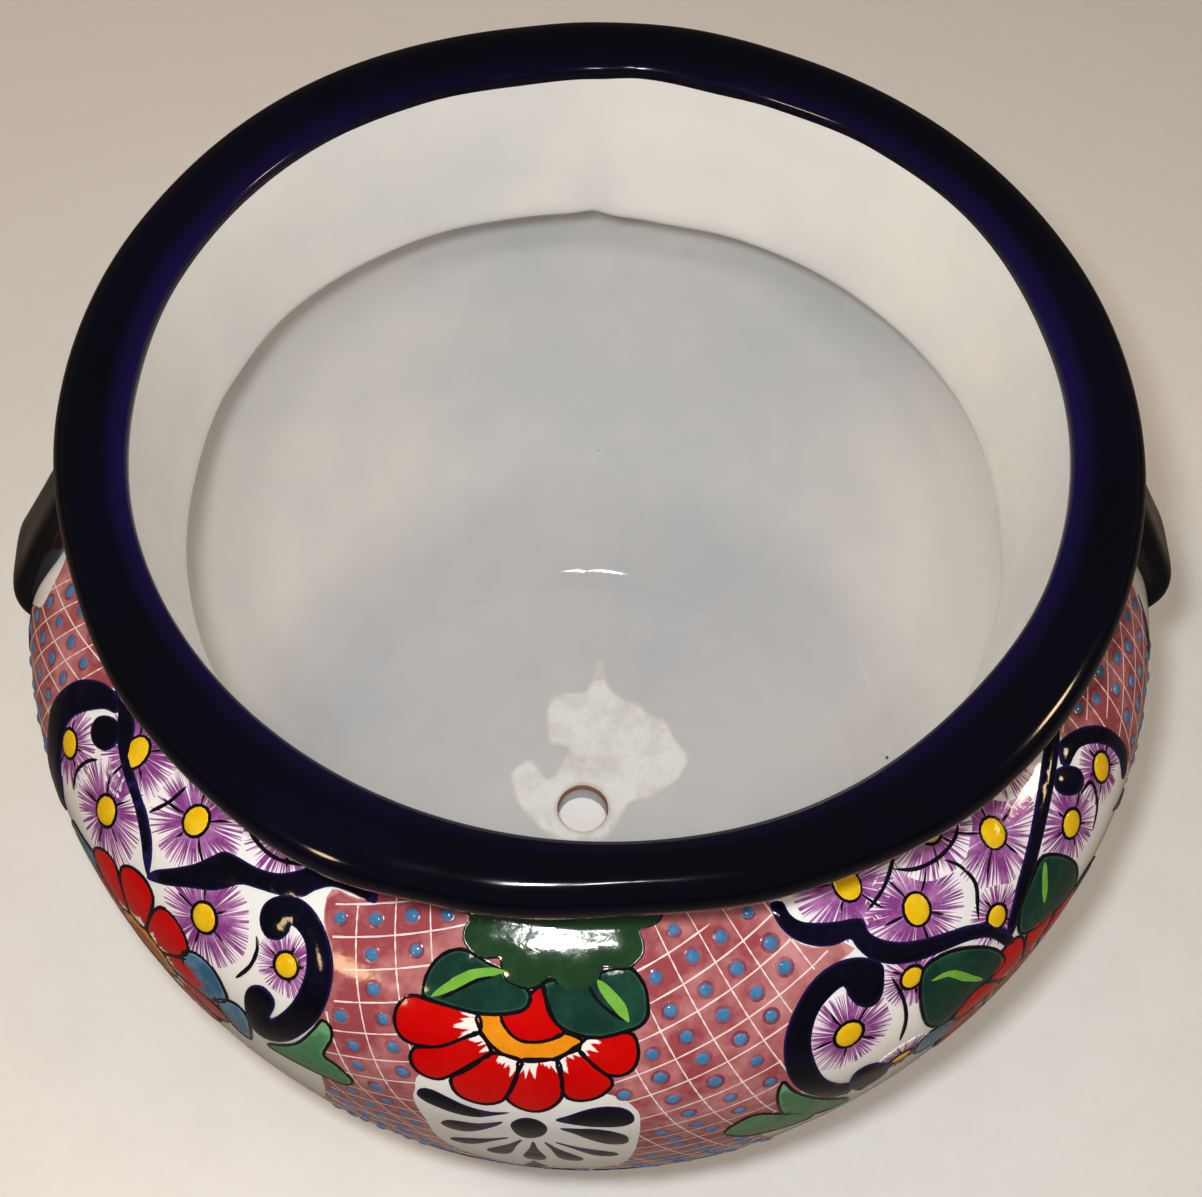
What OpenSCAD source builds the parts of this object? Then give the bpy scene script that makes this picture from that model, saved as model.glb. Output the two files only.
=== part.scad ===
// Round press-moulded planter vase with a rolled rim and two strap ears.
// Millimetres, +Z up, origin on the table at the centre of the foot.
// The seam of the two half shells lies in the YZ plane and the ears lie on the X axis.

/* [Belly] */
// Widest diameter of the belly
belly_d = 447; // [425:1:470]
// Height of the widest ring above the table
equator_z = 232; // [210:1:260]
// Rise of the shoulder from the widest ring to the waist
shoulder_rise = 66; // [58:1:74]
// Wall of the half shells
wall = 9; // [8:0.5:12]

/* [Neck] */
// Inner diameter of the throat lip
throat_d = 314; // [300:1:330]
// How far the throat lip lies below the waist
throat_drop = 15; // [12:0.5:18]
// Rounding of the throat lip
lip_r = 5; // [4:0.5:6]
// How far the waist's outer face lies outside the throat lip
waist_wall = 11; // [9:0.5:14]
// Rise of the neck from the waist to the rim's crest
neck_rise = 60; // [50:1:75]
// How far the neck's inner face flares from the throat lip to the rim
neck_flare = 10; // [4:0.5:16]
// Wall of the neck where the rim sits on it
neck_wall = 9.6; // [8:0.2:12]

/* [Rim] */
// Width of the rim, from its inner edge to its outer side
rim_w = 26; // [24:0.5:32]
// Radius of the rolled outer side of the rim
roll_r = 10; // [9:0.5:12]
// How far the rim's crest stands above the end of the neck
rim_seat_depth = 12; // [10:0.5:15]
// How far the rim's inner edge lies below its crest
rim_edge_drop = 4; // [2:0.5:5]
// Rounding of the rim's inner edge
rim_edge_r = 3; // [2:0.5:4]

/* [Foot] */
// Diameter of the foot
foot_d = 303; // [280:1:330]
// Thickness of the foot under the shell walls
foot_t = 8; // [6:0.5:10]
// Thickness of the floor inside
floor_t = 14; // [12:0.5:18]
// Width of the ledge round the raised floor that the shell walls stand on
foot_ledge = 17.5; // [16:0.5:40]
// Diameter of the drain hole
drain_d = 25; // [12:0.5:40]

/* [Seam coils] */
// Width of the clay coil that is pressed over each seam from inside
seam_w = 14; // [8:1:24]
// Thickness of the seam coil
seam_t = 4; // [2:0.5:6]
// Height above the floor at which the seam coil starts
seam_foot_rise = 6; // [3:0.5:20]

/* [Ears] */
// Width of the strap, along the pot's side
strap_w = 24; // [18:1:32]
// Thickness of the strap
strap_t = 10; // [8:0.5:12]
// How far the strap's middle line stands out past the belly
strap_stand = 6; // [5.5:0.5:10]
// Height of the strap's lower bend above the widest ring
strap_foot_rise = 10; // [8:1:18]
// How far the strap bows outwards between its ends
strap_bow = 5; // [3:0.5:8]
// Radius of the bend where the strap turns into the belly
strap_bend_r = 14; // [11:0.5:18]
// How much the pressed-on bend is thicker than the strap, on each side
bend_swell = 1.5; // [1:0.25:3]

/* [Joints] */
// Film of slip between curved faces that are luted together
slip = 0.3; // [0.2:0.05:0.5]

/* [Hidden] */
$fn = 96;

// Degrees between the points of a round stretch
arc_step = 5;
// Lowest quarter of the throat lip's round, where the shoulder's underside runs into it
lip_start = -45;
// Room beside the throat lip before the shoulder's underside starts
lip_room = 5;
// Turn of the strap's lower bend
bend_turn = 80;
// How deep the strap's upper end goes into the rim before it is trimmed, and at what angle of the roll
strap_sink = 7;
strap_top_a = -40;
// How far the strap runs on inside the bend
strap_lap = 3;
// How far the drain hole's cut runs past both faces of the slab
drain_over = 1;

belly_r = belly_d / 2;
throat_r = throat_d / 2;
waist_r = throat_r + waist_wall;
rim_inner_r = throat_r + neck_flare;
rim_r = rim_inner_r + rim_w;
foot_r = foot_d / 2;
floor_r = foot_r - foot_ledge;
waist_z = equator_z + shoulder_rise;
throat_z = waist_z - throat_drop;
rim_top_z = waist_z + neck_rise;
rim_seat_z = rim_top_z - rim_seat_depth;
rim_edge_z = rim_top_z - rim_edge_drop;
roll_c = [rim_r - roll_r, rim_top_z - roll_r];
lip_c = [throat_r + lip_r, throat_z];

// Radius of an arc that stands upright at one end and reaches the other end over run and rise
function upright_arc_r(run, rise) = (run * run + rise * rise) / (2 * run);

lower_r = upright_arc_r(belly_r - foot_r, equator_z - foot_t);
lower_c = [belly_r - lower_r, equator_z];
shoulder_r = upright_arc_r(belly_r - waist_r, waist_z - equator_z);
shoulder_c = [belly_r - shoulder_r, equator_z];

// Points of an arc about c from angle a0 to a1, both ends included
function arc(c, r, a0, a1) =
    let (n = max(2, ceil(abs(a1 - a0) / arc_step)))
    [for (i = [0:n]) let (a = a0 + (a1 - a0) * i / n) c + r * [cos(a), sin(a)]];

// All points but the last, for an arc that runs into the next one
function start_of(points) = [for (i = [0:len(points) - 2]) points[i]];

// The same points from the last to the first
function backwards(points) = [for (i = [len(points) - 1:-1:0]) points[i]];

// Angle on the lower arc at height z, for the line that lies depth inside the outer face
function lower_angle(z, depth) = asin((z - equator_z) / (lower_r - depth));

// Angle on the shoulder arc at radius x from the axis, for the same kind of line
function shoulder_angle(x, depth) = acos((x - shoulder_c[0]) / (shoulder_r - depth));

// Line of the wall from height z0 up to radius x1 on the shoulder, depth inside the outer face
function wall_line(depth, z0, x1) = concat(
    start_of(arc(lower_c, lower_r - depth, lower_angle(z0, depth), 0)),
    arc(shoulder_c, shoulder_r - depth, 0, shoulder_angle(x1, depth)));

// Radius of the neck's inner face and of its outer face at height z
function neck_inner(z) = throat_r + (rim_inner_r - throat_r) * (z - throat_z) / (rim_edge_z - throat_z);
neck_top_r = neck_inner(rim_seat_z) + neck_wall;
function neck_outer(z) = waist_r + (neck_top_r - waist_r) * (z - waist_z) / (rim_seat_z - waist_z);

// Where the inside of the wall ends beside the throat lip
lip_side_r = throat_r + 2 * lip_r + lip_room;

// Section of the wall: up the outside to the end of the neck, then down the inside
wall_section = concat(
    [[floor_r + slip, foot_t]],
    wall_line(0, foot_t, waist_r),
    [[neck_top_r, rim_seat_z], [neck_inner(rim_seat_z), rim_seat_z]],
    arc(lip_c, lip_r, 180, 360 + lip_start),
    backwards(wall_line(wall, floor_t, lip_side_r)),
    [[floor_r + slip, floor_t]]);

// Section of the rim: a rolled D that hooks over the end of the neck
rim_bottom_z = rim_top_z - 2 * roll_r;
rim_section = concat(
    [[neck_inner(rim_seat_z), rim_seat_z]],
    arc([rim_inner_r + rim_edge_r, rim_edge_z - rim_edge_r], rim_edge_r, 180, 90),
    arc(roll_c, roll_r, 90, -90),
    [[neck_outer(rim_bottom_z) + slip, rim_bottom_z], [neck_top_r + slip, rim_seat_z]]);

// Middle line of the strap: from inside the rim's roll down to the bend above the widest ring
strap_top = roll_c + (roll_r - strap_sink) * [cos(strap_top_a), sin(strap_top_a)];
strap_foot = [belly_r + strap_stand, equator_z + strap_foot_rise];
strap_chord = strap_foot - strap_top;
strap_out = [-strap_chord[1], strap_chord[0]] / norm(strap_chord);
strap_r = (strap_chord * strap_chord / 4 + strap_bow * strap_bow) / (2 * strap_bow);
strap_c = (strap_top + strap_foot) / 2 - strap_out * (strap_r - strap_bow);
bend_dir = (strap_foot - strap_c) / strap_r;
bend_c = strap_foot - bend_dir * strap_bend_r;

function angle_of(v) = atan2(v[1], v[0]);

// Solid out to the shell's outer face and past it by the film of slip
module shell_form() {
    rotate_extrude()
        polygon(concat(
            [[0, foot_t]],
            wall_line(-slip, foot_t, waist_r + slip),
            [[neck_top_r + slip, rim_seat_z], [0, rim_seat_z]]));
}

// Ring that fills the rim's roll and the film of slip round it
module roll_form() {
    rotate_extrude()
        translate(roll_c)
            circle(r = roll_r + slip);
}

// Slab that runs along one seam, from depth_out to depth_in inside the shell's outer face
module seam_slab(depth_out, depth_in) {
    seam_z = floor_t + seam_foot_rise;
    rotate([90, 0, 90])
        translate([0, 0, -seam_w / 2])
            linear_extrude(seam_w)
                polygon(concat(
                    wall_line(depth_out, seam_z, lip_side_r),
                    backwards(wall_line(depth_in, seam_z, lip_side_r))));
}

module half_shell() {
    difference() {
        rotate([0, 0, -90])
            rotate_extrude(angle = 180)
                polygon(wall_section);
        seam_slab(wall - seam_t, wall + seam_t);
        mirror([0, 1, 0])
            seam_slab(wall - seam_t, wall + seam_t);
    }
}

// Flat strap section with round edges, across the plane of the ear
module strap_section(grow) {
    side = strap_w / 2 - strap_t / 2;
    t = strap_t + 2 * grow;
    square([t, 2 * side], center = true);
    for (s = [-1, 1])
        translate([0, s * side])
            circle(d = t);
}

// Part of a strap bent about c in the XZ plane, from angle a0 over turn
module strap_arc(c, r, a0, turn, grow = 0) {
    translate([c[0], 0, c[1]])
        rotate([90, 0, 0])
            rotate([0, 0, a0])
                rotate_extrude(angle = turn)
                    translate([r, 0])
                        strap_section(grow);
}

module ear() {
    foot_a = angle_of(bend_dir);
    lap_a = foot_a - strap_lap / strap_r * 180 / PI;
    top_a = angle_of(strap_top - strap_c);
    difference() {
        union() {
            strap_arc(strap_c, strap_r, lap_a, top_a - lap_a);
            strap_arc(bend_c, strap_bend_r, foot_a - bend_turn, bend_turn, bend_swell);
        }
        shell_form();
        roll_form();
    }
}

module base_slab() {
    color("peru")
        difference() {
            union() {
                cylinder(r = foot_r, h = foot_t);
                cylinder(r = floor_r, h = floor_t);
            }
            translate([0, 0, -drain_over])
                cylinder(d = drain_d, h = floor_t + 2 * drain_over);
        }
}

module right_half_shell() {
    color("ghostwhite")
        half_shell();
}

module left_half_shell() {
    color("ghostwhite")
        mirror([1, 0, 0])
            half_shell();
}

module back_seam_coil() {
    color("whitesmoke")
        seam_slab(wall - seam_t, wall);
}

module front_seam_coil() {
    color("whitesmoke")
        mirror([0, 1, 0])
            seam_slab(wall - seam_t, wall);
}

module rim_roll() {
    color("midnightblue")
        rotate_extrude()
            polygon(rim_section);
}

module right_ear() {
    color("midnightblue")
        ear();
}

module left_ear() {
    color("midnightblue")
        mirror([1, 0, 0])
            ear();
}

base_slab();
left_half_shell();
right_half_shell();
front_seam_coil();
back_seam_coil();
rim_roll();
left_ear();
right_ear();
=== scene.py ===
# %% [markdown]
# # A painted planter vase
# A round-bellied pot with a wide mouth, a rolled cobalt rim, two strap ears and a drain hole,
# painted all over with flowers in thick glaze. The CAD model gives every size. Here each clay
# piece gets a skin with the softness of handwork, and the painting is laid on it as real relief.

# %% Load the frame
import math
import random

import bmesh
import bpy
import numpy as np
from mathutils import Matrix, Vector
from mathutils.geometry import delaunay_2d_cdt


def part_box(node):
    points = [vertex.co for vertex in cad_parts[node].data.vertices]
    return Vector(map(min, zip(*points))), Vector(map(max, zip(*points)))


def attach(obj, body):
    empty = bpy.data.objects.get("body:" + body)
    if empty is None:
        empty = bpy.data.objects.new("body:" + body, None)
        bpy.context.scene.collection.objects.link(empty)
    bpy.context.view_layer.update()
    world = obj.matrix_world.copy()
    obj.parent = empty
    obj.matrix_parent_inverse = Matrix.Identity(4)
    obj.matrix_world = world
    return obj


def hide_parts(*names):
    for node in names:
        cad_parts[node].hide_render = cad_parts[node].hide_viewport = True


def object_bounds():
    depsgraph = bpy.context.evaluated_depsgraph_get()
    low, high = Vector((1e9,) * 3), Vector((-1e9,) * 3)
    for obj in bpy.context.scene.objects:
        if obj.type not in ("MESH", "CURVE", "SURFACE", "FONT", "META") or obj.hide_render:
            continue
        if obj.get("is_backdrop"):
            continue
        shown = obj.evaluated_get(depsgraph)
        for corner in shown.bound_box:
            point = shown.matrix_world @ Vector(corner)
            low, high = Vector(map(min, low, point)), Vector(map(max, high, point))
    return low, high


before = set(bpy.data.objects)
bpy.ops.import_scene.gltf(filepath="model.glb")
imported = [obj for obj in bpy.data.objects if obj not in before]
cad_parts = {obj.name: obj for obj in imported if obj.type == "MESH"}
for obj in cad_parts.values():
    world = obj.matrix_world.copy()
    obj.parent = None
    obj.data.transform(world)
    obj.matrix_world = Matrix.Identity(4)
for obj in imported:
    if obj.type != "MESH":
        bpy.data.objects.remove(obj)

MM = 0.001
scene = bpy.context.scene
cad_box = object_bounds()
print("nodes:", sorted(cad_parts), "box in m:", [tuple(round(c, 4) for c in p) for p in cad_box])

# %% [markdown]
# ## Camera
# The pot is looked down into at about 59 degrees, from close by, so the mouth is wide and the foot
# is out of sight. A camera could be aimed with a constraint, but the fitted view also rolls a
# little, so its three directions are written down and made into a matrix.

# %% Camera
bpy.ops.object.select_all(action="DESELECT")
bpy.ops.object.camera_add()
camera = bpy.context.object
camera.name = "camera"
camera.data.sensor_fit = "HORIZONTAL"
camera.data.sensor_width = 36.0
camera.data.lens = 56.9
LENS_AT = (-0.0177, -0.4047, 0.8928)
to_right, to_top = (0.9996, -0.0087, 0.0266), (-0.0063, 0.8569, 0.5155)
to_pot = (0.0273, 0.5155, -0.8565)
turned = Matrix((to_right, to_top, [-c for c in to_pot])).transposed()
camera.matrix_world = Matrix.Translation(LENS_AT) @ turned.to_4x4()
scene.camera = camera
scene.view_settings.view_transform = "Standard"
print("camera looks down at", round(math.degrees(math.asin(-to_pot[2]))), "degrees")

# %% [markdown]
# ## Light
# Glazed ware is hard to light: every lamp is mirrored in it. The main lamp is small and stands
# beside the lens, as a flash does, so the shadow is a narrow one and the inside is lit evenly.
# Three wide warm lamps fill in. They are kept out of the mirror image, so that the dark rim stays
# dark. Two pairs of sparks give the short bright strokes that show how wet the glaze looks. The
# warm pair is only mirrored, and lights nothing.

# %% Lamps
def lamp(name, place, aim, size, watts, colour, mirrored=True, lights=True):
    """A round area lamp at place, aimed at a point, both in metres."""
    bpy.ops.object.light_add(type="AREA", location=place)
    made = bpy.context.object
    made.name = name
    made.data.shape = "DISK"
    made.data.size, made.data.energy, made.data.color = size, watts, colour
    made.rotation_euler = (Vector(aim) - Vector(place)).to_track_quat("-Z", "Y").to_euler()
    made.visible_glossy, made.visible_diffuse = mirrored, lights


lamp("lens_light", (-0.047, -0.376, 0.909), (0, 0, 0.2), 0.04, 3.6, (0.95, 0.99, 1.0))
lamp("left_light", (-1.45, 0.20, 1.90), (0, 0, 0.2), 0.6, 9.0, (1.0, 0.70, 0.42), mirrored=False)
lamp("right_light", (1.30, -0.60, 1.80), (0, 0, 0.2), 0.9, 5.0, (1.0, 0.74, 0.48), mirrored=False)
lamp("top_light", (0.0, 0.0, 2.20), (0, 0, 0.2), 1.0, 3.4, (1.0, 0.76, 0.52), mirrored=False)
lamp("lens_spark_left", (-0.13, -0.62, 1.45), (0, 0, 0.25), 0.08, 1.9, (1.0, 0.97, 0.93))
lamp("lens_spark_right", (0.06, -0.62, 1.45), (0, 0, 0.25), 0.08, 1.9, (1.0, 0.97, 0.93))
lamp("right_spark", (1.50, -0.25, 0.92), (0, 0, 0.3), 0.24, 8.0, (1.0, 0.72, 0.40), lights=False)
lamp("left_spark", (-0.95, -1.20, 0.85), (0, 0, 0.3), 0.24, 8.0, (1.0, 0.72, 0.40), lights=False)

# %% World
world = bpy.data.worlds.new("room")
scene.world = world
world.use_nodes = True
world.node_tree.nodes["Background"].inputs["Color"].default_value = (1.0, 0.90, 0.78, 1)
world.node_tree.nodes["Background"].inputs["Strength"].default_value = 0.10

# %% [markdown]
# ## Glaze
# Every finish on the pot is glaze over clay: it pools where it is thick, goes pale where it is
# thin, and its surface is never quite even. That is one effect with many colours, so it is one
# shader node group. It gives a colour, a roughness and a height that all change over the surface.
# Each material then sets its own two colours and the size of its patches.

# %% Node helpers
def tone(red, green, blue):
    """A colour as a screen shows it, 0 to 255, made linear for a shader."""
    return tuple(((c / 255 + 0.055) / 1.055) ** 2.4 if c > 10 else c / 3294.6
                 for c in (red, green, blue)) + (1.0,)


def put(tree, kind, inputs=None, **settings):
    """Add a shader node, set its options, and fill its inputs with values or links."""
    made = tree.nodes.new("ShaderNode" + kind)
    for key, value in settings.items():
        setattr(made, key, value)
    for key, value in (inputs or {}).items():
        if isinstance(value, bpy.types.NodeSocket):
            tree.links.new(value, made.inputs[key])
        else:
            made.inputs[key].default_value = value
    return made


def sums(tree, operation, first, second=0.0, third=0.0):
    """One Math node, as a value to use on."""
    return put(tree, "Math", {0: first, 1: second, 2: third}, operation=operation).outputs[0]


def mixed(tree, amount, one, other):
    """A blend from one colour to another."""
    return put(tree, "Mix", {0: amount, 6: one, 7: other}, data_type="RGBA").outputs[2]


def ramp(tree, value, low, high, to_low=0.0, to_high=1.0):
    """A value carried softly from one range to another."""
    inputs = {"Value": value, "From Min": low, "From Max": high, "To Min": to_low, "To Max": to_high}
    return put(tree, "MapRange", inputs, interpolation_type="SMOOTHSTEP").outputs[0]


def new_group(name, takes, gives):
    """A shader group with named sockets. Returns it, the values it is given and the inputs of its result."""
    made = bpy.data.node_groups.new(name, "ShaderNodeTree")
    for way, sockets in (("INPUT", takes), ("OUTPUT", gives)):
        for socket, kind in sockets.items():
            made.interface.new_socket(name=socket, in_out=way, socket_type="NodeSocket" + kind)
    return made, made.nodes.new("NodeGroupInput").outputs, made.nodes.new("NodeGroupOutput").inputs


# %% The laid glaze group
laid, given, result = new_group("laid_glaze", {
    "Vector": "Vector", "Thick": "Color", "Thin": "Color", "Patches": "Float", "Pooling": "Float",
    "Edge": "Float"}, {"Color": "Color", "Roughness": "Float", "Height": "Float"})
noise = {"Vector": given["Vector"], "Scale": given["Patches"], "Detail": 3.0}
broad = put(laid, "TexNoise", noise).outputs["Fac"]
noise.update({"Scale": sums(laid, "MULTIPLY", given["Patches"], 5.0), "Detail": 2.0})
fine = put(laid, "TexNoise", noise).outputs["Fac"]
uneven_broad = sums(laid, "MULTIPLY_ADD", broad, 3.0, -1.2)
uneven_fine = sums(laid, "MULTIPLY_ADD", fine, 1.2, -0.6)
uneven = sums(laid, "ADD", uneven_broad, uneven_fine)
pooled = sums(laid, "MULTIPLY_ADD", uneven, given["Pooling"], given["Edge"])
pooled = put(laid, "Clamp", {"Value": pooled}).outputs[0]
laid.links.new(mixed(laid, pooled, given["Thick"], given["Thin"]), result["Color"])
laid.links.new(sums(laid, "MULTIPLY_ADD", fine, 0.12, 0.05), result["Roughness"])
laid.links.new(sums(laid, "MULTIPLY_ADD", broad, 3.0, fine), result["Height"])


# %% A material from the group
def glaze(name, thick, thin, patches=60.0, pooling=0.5, edge=None, relief=0.12, dull=0.0, shine=0.15):
    """A glaze with two depths of colour. edge is the width in mm over which a daub thins out."""
    made = bpy.data.materials.new(name)
    made.use_nodes = True
    tree = made.node_tree
    shader = tree.nodes["Principled BSDF"]
    place = put(tree, "TexCoord", name="place").outputs["Object"]
    inputs = {"Vector": place, "Thick": thick, "Thin": thin, "Patches": patches, "Pooling": pooling,
              "Edge": 0.0}
    if edge:
        inset = put(tree, "Attribute", attribute_name="inset").outputs["Fac"]
        inputs["Edge"] = ramp(tree, inset, 0.0, edge, 0.9, 0.0)
    given = put(tree, "Group", inputs, name="laid", node_tree=laid).outputs
    tree.links.new(given["Color"], shader.inputs["Base Color"])
    rough = sums(tree, "ADD", given["Roughness"], dull) if dull else given["Roughness"]
    tree.links.new(rough, shader.inputs["Roughness"])
    bump = put(tree, "Bump", {"Height": given["Height"], "Strength": relief, "Distance": 0.6 * MM})
    tree.links.new(bump.outputs["Normal"], shader.inputs["Normal"])
    shader.inputs["Specular IOR Level"].default_value = shine
    return made


# %% White glaze with iron specks and painted shade inside
white_glaze = glaze("white_glaze", tone(241, 237, 232), tone(219, 222, 224), patches=7.0, pooling=0.7,
                    relief=0.10, dull=-0.06, shine=0.5)
tree = white_glaze.node_tree
place = tree.nodes["place"].outputs["Object"]
speck = put(tree, "TexVoronoi", {"Vector": place, "Scale": 26.0}, feature="F1")
rare = put(tree, "TexNoise", {"Vector": place, "Scale": 21.0}).outputs["Fac"]
size = ramp(tree, rare, 0.56, 0.72, 0.0, 0.05)
is_speck = sums(tree, "LESS_THAN", speck.outputs["Distance"], size)
spotted = mixed(tree, is_speck, tree.nodes["laid"].outputs["Color"], tone(92, 78, 70))
# Painted shade: where the "inside" attribute is high, the glaze is multiplied greyer and a little bluer, as
# though the deep bowl and its floor lie in shade.
inside_shade = put(tree, "Attribute", attribute_name="inside").outputs["Fac"]
inside_shaded_colour = put(tree, "Mix", {0: inside_shade, 6: spotted, 7: tone(217, 219, 225)},
             data_type="RGBA", blend_type="MULTIPLY")
tree.links.new(inside_shaded_colour.outputs[2], tree.nodes["Principled BSDF"].inputs["Base Color"])

# %% Cobalt glaze and bare clay
cobalt_glaze = glaze("cobalt_glaze", tone(5, 5, 12), tone(22, 12, 62), patches=14.0, pooling=0.10,
                     relief=0.10, shine=0.2)
tree = cobalt_glaze.node_tree
# The thin attribute turns the cobalt violet: glaze thinning at the rim's inner edge, plus a painted
# reflection at the rim's sides.
thin_edge_and_reflection = put(tree, "Attribute", attribute_name="thin").outputs["Fac"]
tree.links.new(sums(tree, "MULTIPLY", thin_edge_and_reflection, 0.9), tree.nodes["laid"].inputs["Edge"])
bare_clay = glaze("bare_clay", tone(150, 104, 78), tone(184, 146, 118), patches=90.0, pooling=0.6,
                  relief=0.5, dull=0.6)
print("materials:", [m.name for m in bpy.data.materials])

# %% [markdown]
# ## Floor
# The pot stands on a plain pale sheet. It is one wide plane with a faint grain, so that the soft
# shadow under the belly reads. Deep colours look milky when a bright sheet is mirrored in them, so
# the sheet is darker for mirror rays. It is marked as stage because it isn't part of the pot.

# %% Pale sheet
bpy.ops.object.select_all(action="DESELECT")
bpy.ops.mesh.primitive_plane_add(size=12.0)
sheet_floor = bpy.context.object
sheet_floor.name = "pale_sheet"
pale = glaze("pale_sheet", tone(250, 249, 248), tone(244, 242, 240), patches=30.0, pooling=0.5,
             relief=0.35, dull=0.5)
tree = pale.node_tree
depth = put(tree, "SeparateXYZ", {0: tree.nodes["place"].outputs["Object"]}).outputs["Y"]
far = ramp(tree, depth, 0.1, 0.55)
shaded = mixed(tree, far, tree.nodes["laid"].outputs["Color"], tone(248, 247, 247))
in_mirror = put(tree, "LightPath").outputs["Is Glossy Ray"]
shaded = mixed(tree, in_mirror, shaded, tone(124, 118, 110))
tree.links.new(shaded, tree.nodes["Principled BSDF"].inputs["Base Color"])
sheet_floor.data.materials.append(pale)
sheet_floor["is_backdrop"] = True
print("floor made")

# %% [markdown]
# ## The belly's line
# The belly is two arcs that meet at its widest ring, with a straight flaring neck above the waist.
# The painting has to lie on the same surface, so one function gives the line for both: how far
# down from the waist, in mm along the clay, to radius, height and the direction that faces out.

# %% Belly line
FOOT_R, FOOT_T, FLOOR_R, FLOOR_Z, DRAIN_R = 151.5, 8.0, 134.0, 14.0, 12.5
BELLY_R, EQUATOR_Z, WAIST_R, WAIST_Z = 223.5, 232.0, 168.0, 298.0
NECK_R, NECK_Z, THROAT_R, THROAT_Z, MOUTH_R, MOUTH_Z = 175.47, 346.0, 157.0, 283.0, 167.0, 354.0
WALL, IN_WALL, ROUND = 9.0, 4, 8.0


def arc_through(run, rise):
    """Radius of an arc that leaves upright and comes in by run over a rise."""
    return (run * run + rise * rise) / (2 * run)


LOW_ARC = arc_through(BELLY_R - FOOT_R, EQUATOR_Z - FOOT_T)
TOP_ARC = arc_through(BELLY_R - WAIST_R, WAIST_Z - EQUATOR_Z)
WAIST_TURN = math.asin((WAIST_Z - EQUATOR_Z) / TOP_ARC)
TO_EQUATOR = TOP_ARC * WAIST_TURN
TO_FOOT = TO_EQUATOR + LOW_ARC * math.asin((EQUATOR_Z - FOOT_T) / LOW_ARC)


def sharp_line(drop, inset=0.0):
    """Radius and height on the two arcs and the neck, before the waist is rounded."""
    if drop < 0:
        up = -drop / math.hypot(NECK_R - WAIST_R, NECK_Z - WAIST_Z)
        return WAIST_R + up * (NECK_R - WAIST_R), WAIST_Z + up * (NECK_Z - WAIST_Z)
    if drop < TO_EQUATOR:
        turn, arc = WAIST_TURN - drop / TOP_ARC, TOP_ARC
    else:
        turn, arc = -(drop - TO_EQUATOR) / LOW_ARC, LOW_ARC
    return BELLY_R - arc + (arc - inset) * math.cos(turn), EQUATOR_Z + (arc - inset) * math.sin(turn)


def belly_line(drop):
    """Radius, height and outward direction of the clay's surface, the waist rounded."""
    if abs(drop) < ROUND:
        t = (drop + ROUND) / (2 * ROUND)
        a, b, c = (Vector(sharp_line(d)) for d in (-ROUND, 0.0, ROUND))
        point = a * (1 - t) ** 2 + b * 2 * t * (1 - t) + c * t * t
        along = ((b - a) * (1 - t) + (c - b) * t).normalized()
    else:
        point = Vector(sharp_line(drop))
        along = (Vector(sharp_line(drop + 0.1)) - Vector(sharp_line(drop - 0.1))).normalized()
    return point.x, point.y, -along.y, along.x


print("waist to widest ring", round(TO_EQUATOR, 1), "mm, waist to foot", round(TO_FOOT, 1), "mm")

# %% [markdown]
# ## Body
# On the bench the body is two pressed half shells luted along an upright seam. Once glazed they are
# one skin, so one piece stands for the shells and the coils in their seams. A potter's body is a
# turned form: its line is drawn as a chain of points, by extruding one vertex, and then spun.

# %% Turning helper
def leave_edit():
    """Turn every face outwards and leave edit mode."""
    bpy.ops.mesh.select_all(action="SELECT")
    bpy.ops.mesh.normals_make_consistent(inside=False)
    bpy.ops.object.mode_set(mode="OBJECT")


def turned_piece(name, line, steps):
    """Draw a closed line of (radius, height) in mm with extruded vertices and spin it round the axis."""
    bpy.ops.object.select_all(action="DESELECT")
    bpy.ops.mesh.primitive_plane_add(size=2 * MM)
    piece = bpy.context.object
    piece.name = piece.data.name = name
    bpy.ops.object.mode_set(mode="EDIT")
    bpy.ops.mesh.select_mode(type="VERT")
    bpy.ops.mesh.select_all(action="SELECT")
    bpy.ops.mesh.merge(type="CENTER")
    points = [Vector((r * MM, 0, z * MM)) for r, z in line]
    bpy.ops.transform.translate(value=points[0])
    for here, there in zip(points, points[1:] + points[:1]):
        bpy.ops.mesh.extrude_vertices_move(TRANSFORM_OT_translate={"value": there - here})
    bpy.ops.mesh.select_all(action="SELECT")
    bpy.ops.mesh.remove_doubles(threshold=0.02 * MM)
    bpy.ops.mesh.spin(steps=steps, angle=math.tau, center=(0, 0, 0), axis=(0, 0, 1), use_auto_merge=True)
    bpy.ops.mesh.select_all(action="SELECT")
    bpy.ops.mesh.remove_doubles(threshold=0.02 * MM)
    leave_edit()
    return piece


def smooth(piece, degrees=40):
    """Shade softly, with crisp edges where faces meet at a larger angle."""
    bpy.ops.object.select_all(action="DESELECT")
    piece.select_set(True)
    bpy.context.view_layer.objects.active = piece
    bpy.ops.object.shade_smooth_by_angle(angle=math.radians(degrees))


def curve(a, b, c, parts):
    """Points on a soft bend from a to c that leans towards b."""
    a, b, c = Vector(a), Vector(b), Vector(c)
    return [tuple(a * (1 - t) ** 2 + b * 2 * t * (1 - t) + c * t * t)
            for t in (k / parts for k in range(parts + 1))]


def carry(piece, name, values):
    """Give each point of a piece a value that its material can read."""
    piece.data.attributes.new(name, "FLOAT", "POINT").data.foreach_set("value", values)


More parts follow.
